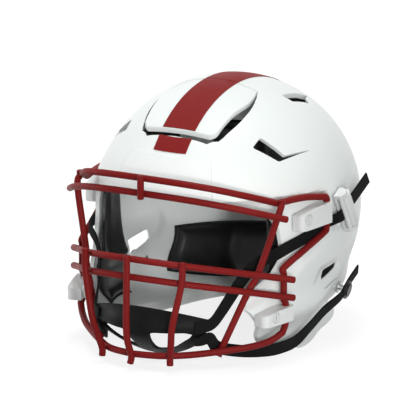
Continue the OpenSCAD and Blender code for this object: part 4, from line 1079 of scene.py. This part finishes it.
pad("front_cushion", "front_pad", "helmet", front_at, lambda u, v: SEAT,
    lambda u, v: LINER * puff(u, v) * channel(u, 3), (150, 30))
pad("panel_cushion", "panel_pad", "panel", panel_pad_at, lambda u, v: WALL + GAP,
    lambda u, v: 0.7 * LINER * puff(u, v), (62, 66))
pad("crown_cushion", "crown_pad", "helmet", crown_at, lambda u, v: SEAT,
    lambda u, v: LINER * puff(u, v) * channel(u, 2), (104, 90))
pad("back_cushion", "back_pad", "helmet", back_at, lambda u, v: SEAT,
    lambda u, v: LINER * puff(u, v) * channel(u, 3), (190, 84), cols=90)
for word, side in (("left", 1), ("right", -1)):
    pad("side_cushion_" + word, "side_pad_" + word, "helmet", side_at,
        lambda u, v: SEAT + POCKET * (1 - ease((mix(SIDE_FRONT, SIDE_REAR, u) - 14) / 14)),
        lambda u, v: LINER * puff(u, v), (78, 66), side)
    pad("jaw_cushion_" + word, "jaw_pad_" + word, "helmet", jaw_at, jaw_seat,
        lambda u, v: JAW_PAD * puff(u, v) * mix(1, 0.6, ease((v - 0.3) / 0.2)), (50, 112), side, rows=70, cols=40)
pad("rear_cushion", "rear_pad", "helmet", rear_at, lambda u, v: SEAT + 0.7,
    lambda u, v: REAR_PAD * puff(u, v) * channel(u, 4), (250, 54), cols=140)

# ---------------------------------------------------------------- stage and light
scene = bpy.context.scene
scene.view_settings.view_transform = "Standard"
SKY, FLOOR_GLOW = (0.08, 0.68), 0.8
world = bpy.data.worlds.new("studio")
scene.world = world
world.use_nodes = True
wn, wl = world.node_tree.nodes, world.node_tree.links.new
back = wn["Background"]
back.inputs["Color"].default_value = (0.95, 1.0, 0.98, 1)
# a studio that is lit from above: its light falls off evenly towards the floor, and looks plain white from anywhere
where = wn.new("ShaderNodeTexCoord")
split = wn.new("ShaderNodeSeparateXYZ")
wl(where.outputs["Generated"], split.inputs["Vector"])
wl(remap(wn, wl, split.outputs["Z"], 0, 1, *SKY), back.inputs["Strength"])
plain = wn.new("ShaderNodeBackground")
plain.inputs["Color"].default_value = (1, 1, 1, 1)
plain.inputs["Strength"].default_value = 1
rays = wn.new("ShaderNodeLightPath")
choose = wn.new("ShaderNodeMixShader")
wl(either(wn, wl, *(rays.outputs[k] for k in ("Is Camera Ray", "Is Glossy Ray", "Is Transmission Ray"))),
   choose.inputs["Fac"])
wl(back.outputs[0], choose.inputs[1])
wl(plain.outputs[0], choose.inputs[2])
wl(choose.outputs[0], wn["World Output"].inputs["Surface"])


def hang(data, place, aim):
    o = bpy.data.objects.new(data.name, data)
    scene.collection.objects.link(o)
    o.location = place
    o.rotation_mode = "QUATERNION"
    o.rotation_quaternion = (Vector(aim) - Vector(place)).to_track_quat("-Z", "Y")


for name, place, power in (("side_lamp", (1.75, -1.6, 0.45), 21), ("top_lamp", (-0.1, 0.1, 2.4), 23),
                           ("left_lamp", (-2.2, -0.5, 0.5), 17)):
    data = bpy.data.lights.new(name, "AREA")
    data.shape, data.size, data.energy = "DISK", 1.0, power
    hang(data, place, (0, 0, 0.1))
data = bpy.data.lights.new("face_lamp", "SPOT")
data.energy, data.shadow_soft_size, data.spot_size, data.spot_blend = 130, 0.12, math.radians(7), 1
hang(data, (1.4, -1.8, 0.35), (-0.09, 0.06, 0.07))

bpy.ops.mesh.primitive_plane_add(size=12, location=(0, 0, 0))
floor = bpy.context.object
floor.name = "floor"
fm = bpy.data.materials.new("floor_white")
fm.use_nodes = True
fn, fl = fm.node_tree.nodes, fm.node_tree.links.new
bsdf = fn["Principled BSDF"]
bsdf.inputs["Base Color"].default_value = (0.3, 0.3, 0.3, 1)
bsdf.inputs["Roughness"].default_value = 0.9
bsdf.inputs["Specular IOR Level"].default_value = 0
glow = fn.new("ShaderNodeEmission")
glow.inputs["Color"].default_value = (1, 1, 1, 1)
seen = fn.new("ShaderNodeLightPath")
direct = either(fn, fl, seen.outputs["Is Camera Ray"], seen.outputs["Is Glossy Ray"])
fl(maths(fn, fl, "MULTIPLY", direct, FLOOR_GLOW), glow.inputs["Strength"])
add = fn.new("ShaderNodeAddShader")
fl(bsdf.outputs[0], add.inputs[0])
fl(glow.outputs[0], add.inputs[1])
fl(add.outputs[0], fn["Material Output"].inputs["Surface"])
floor.data.materials.append(fm)
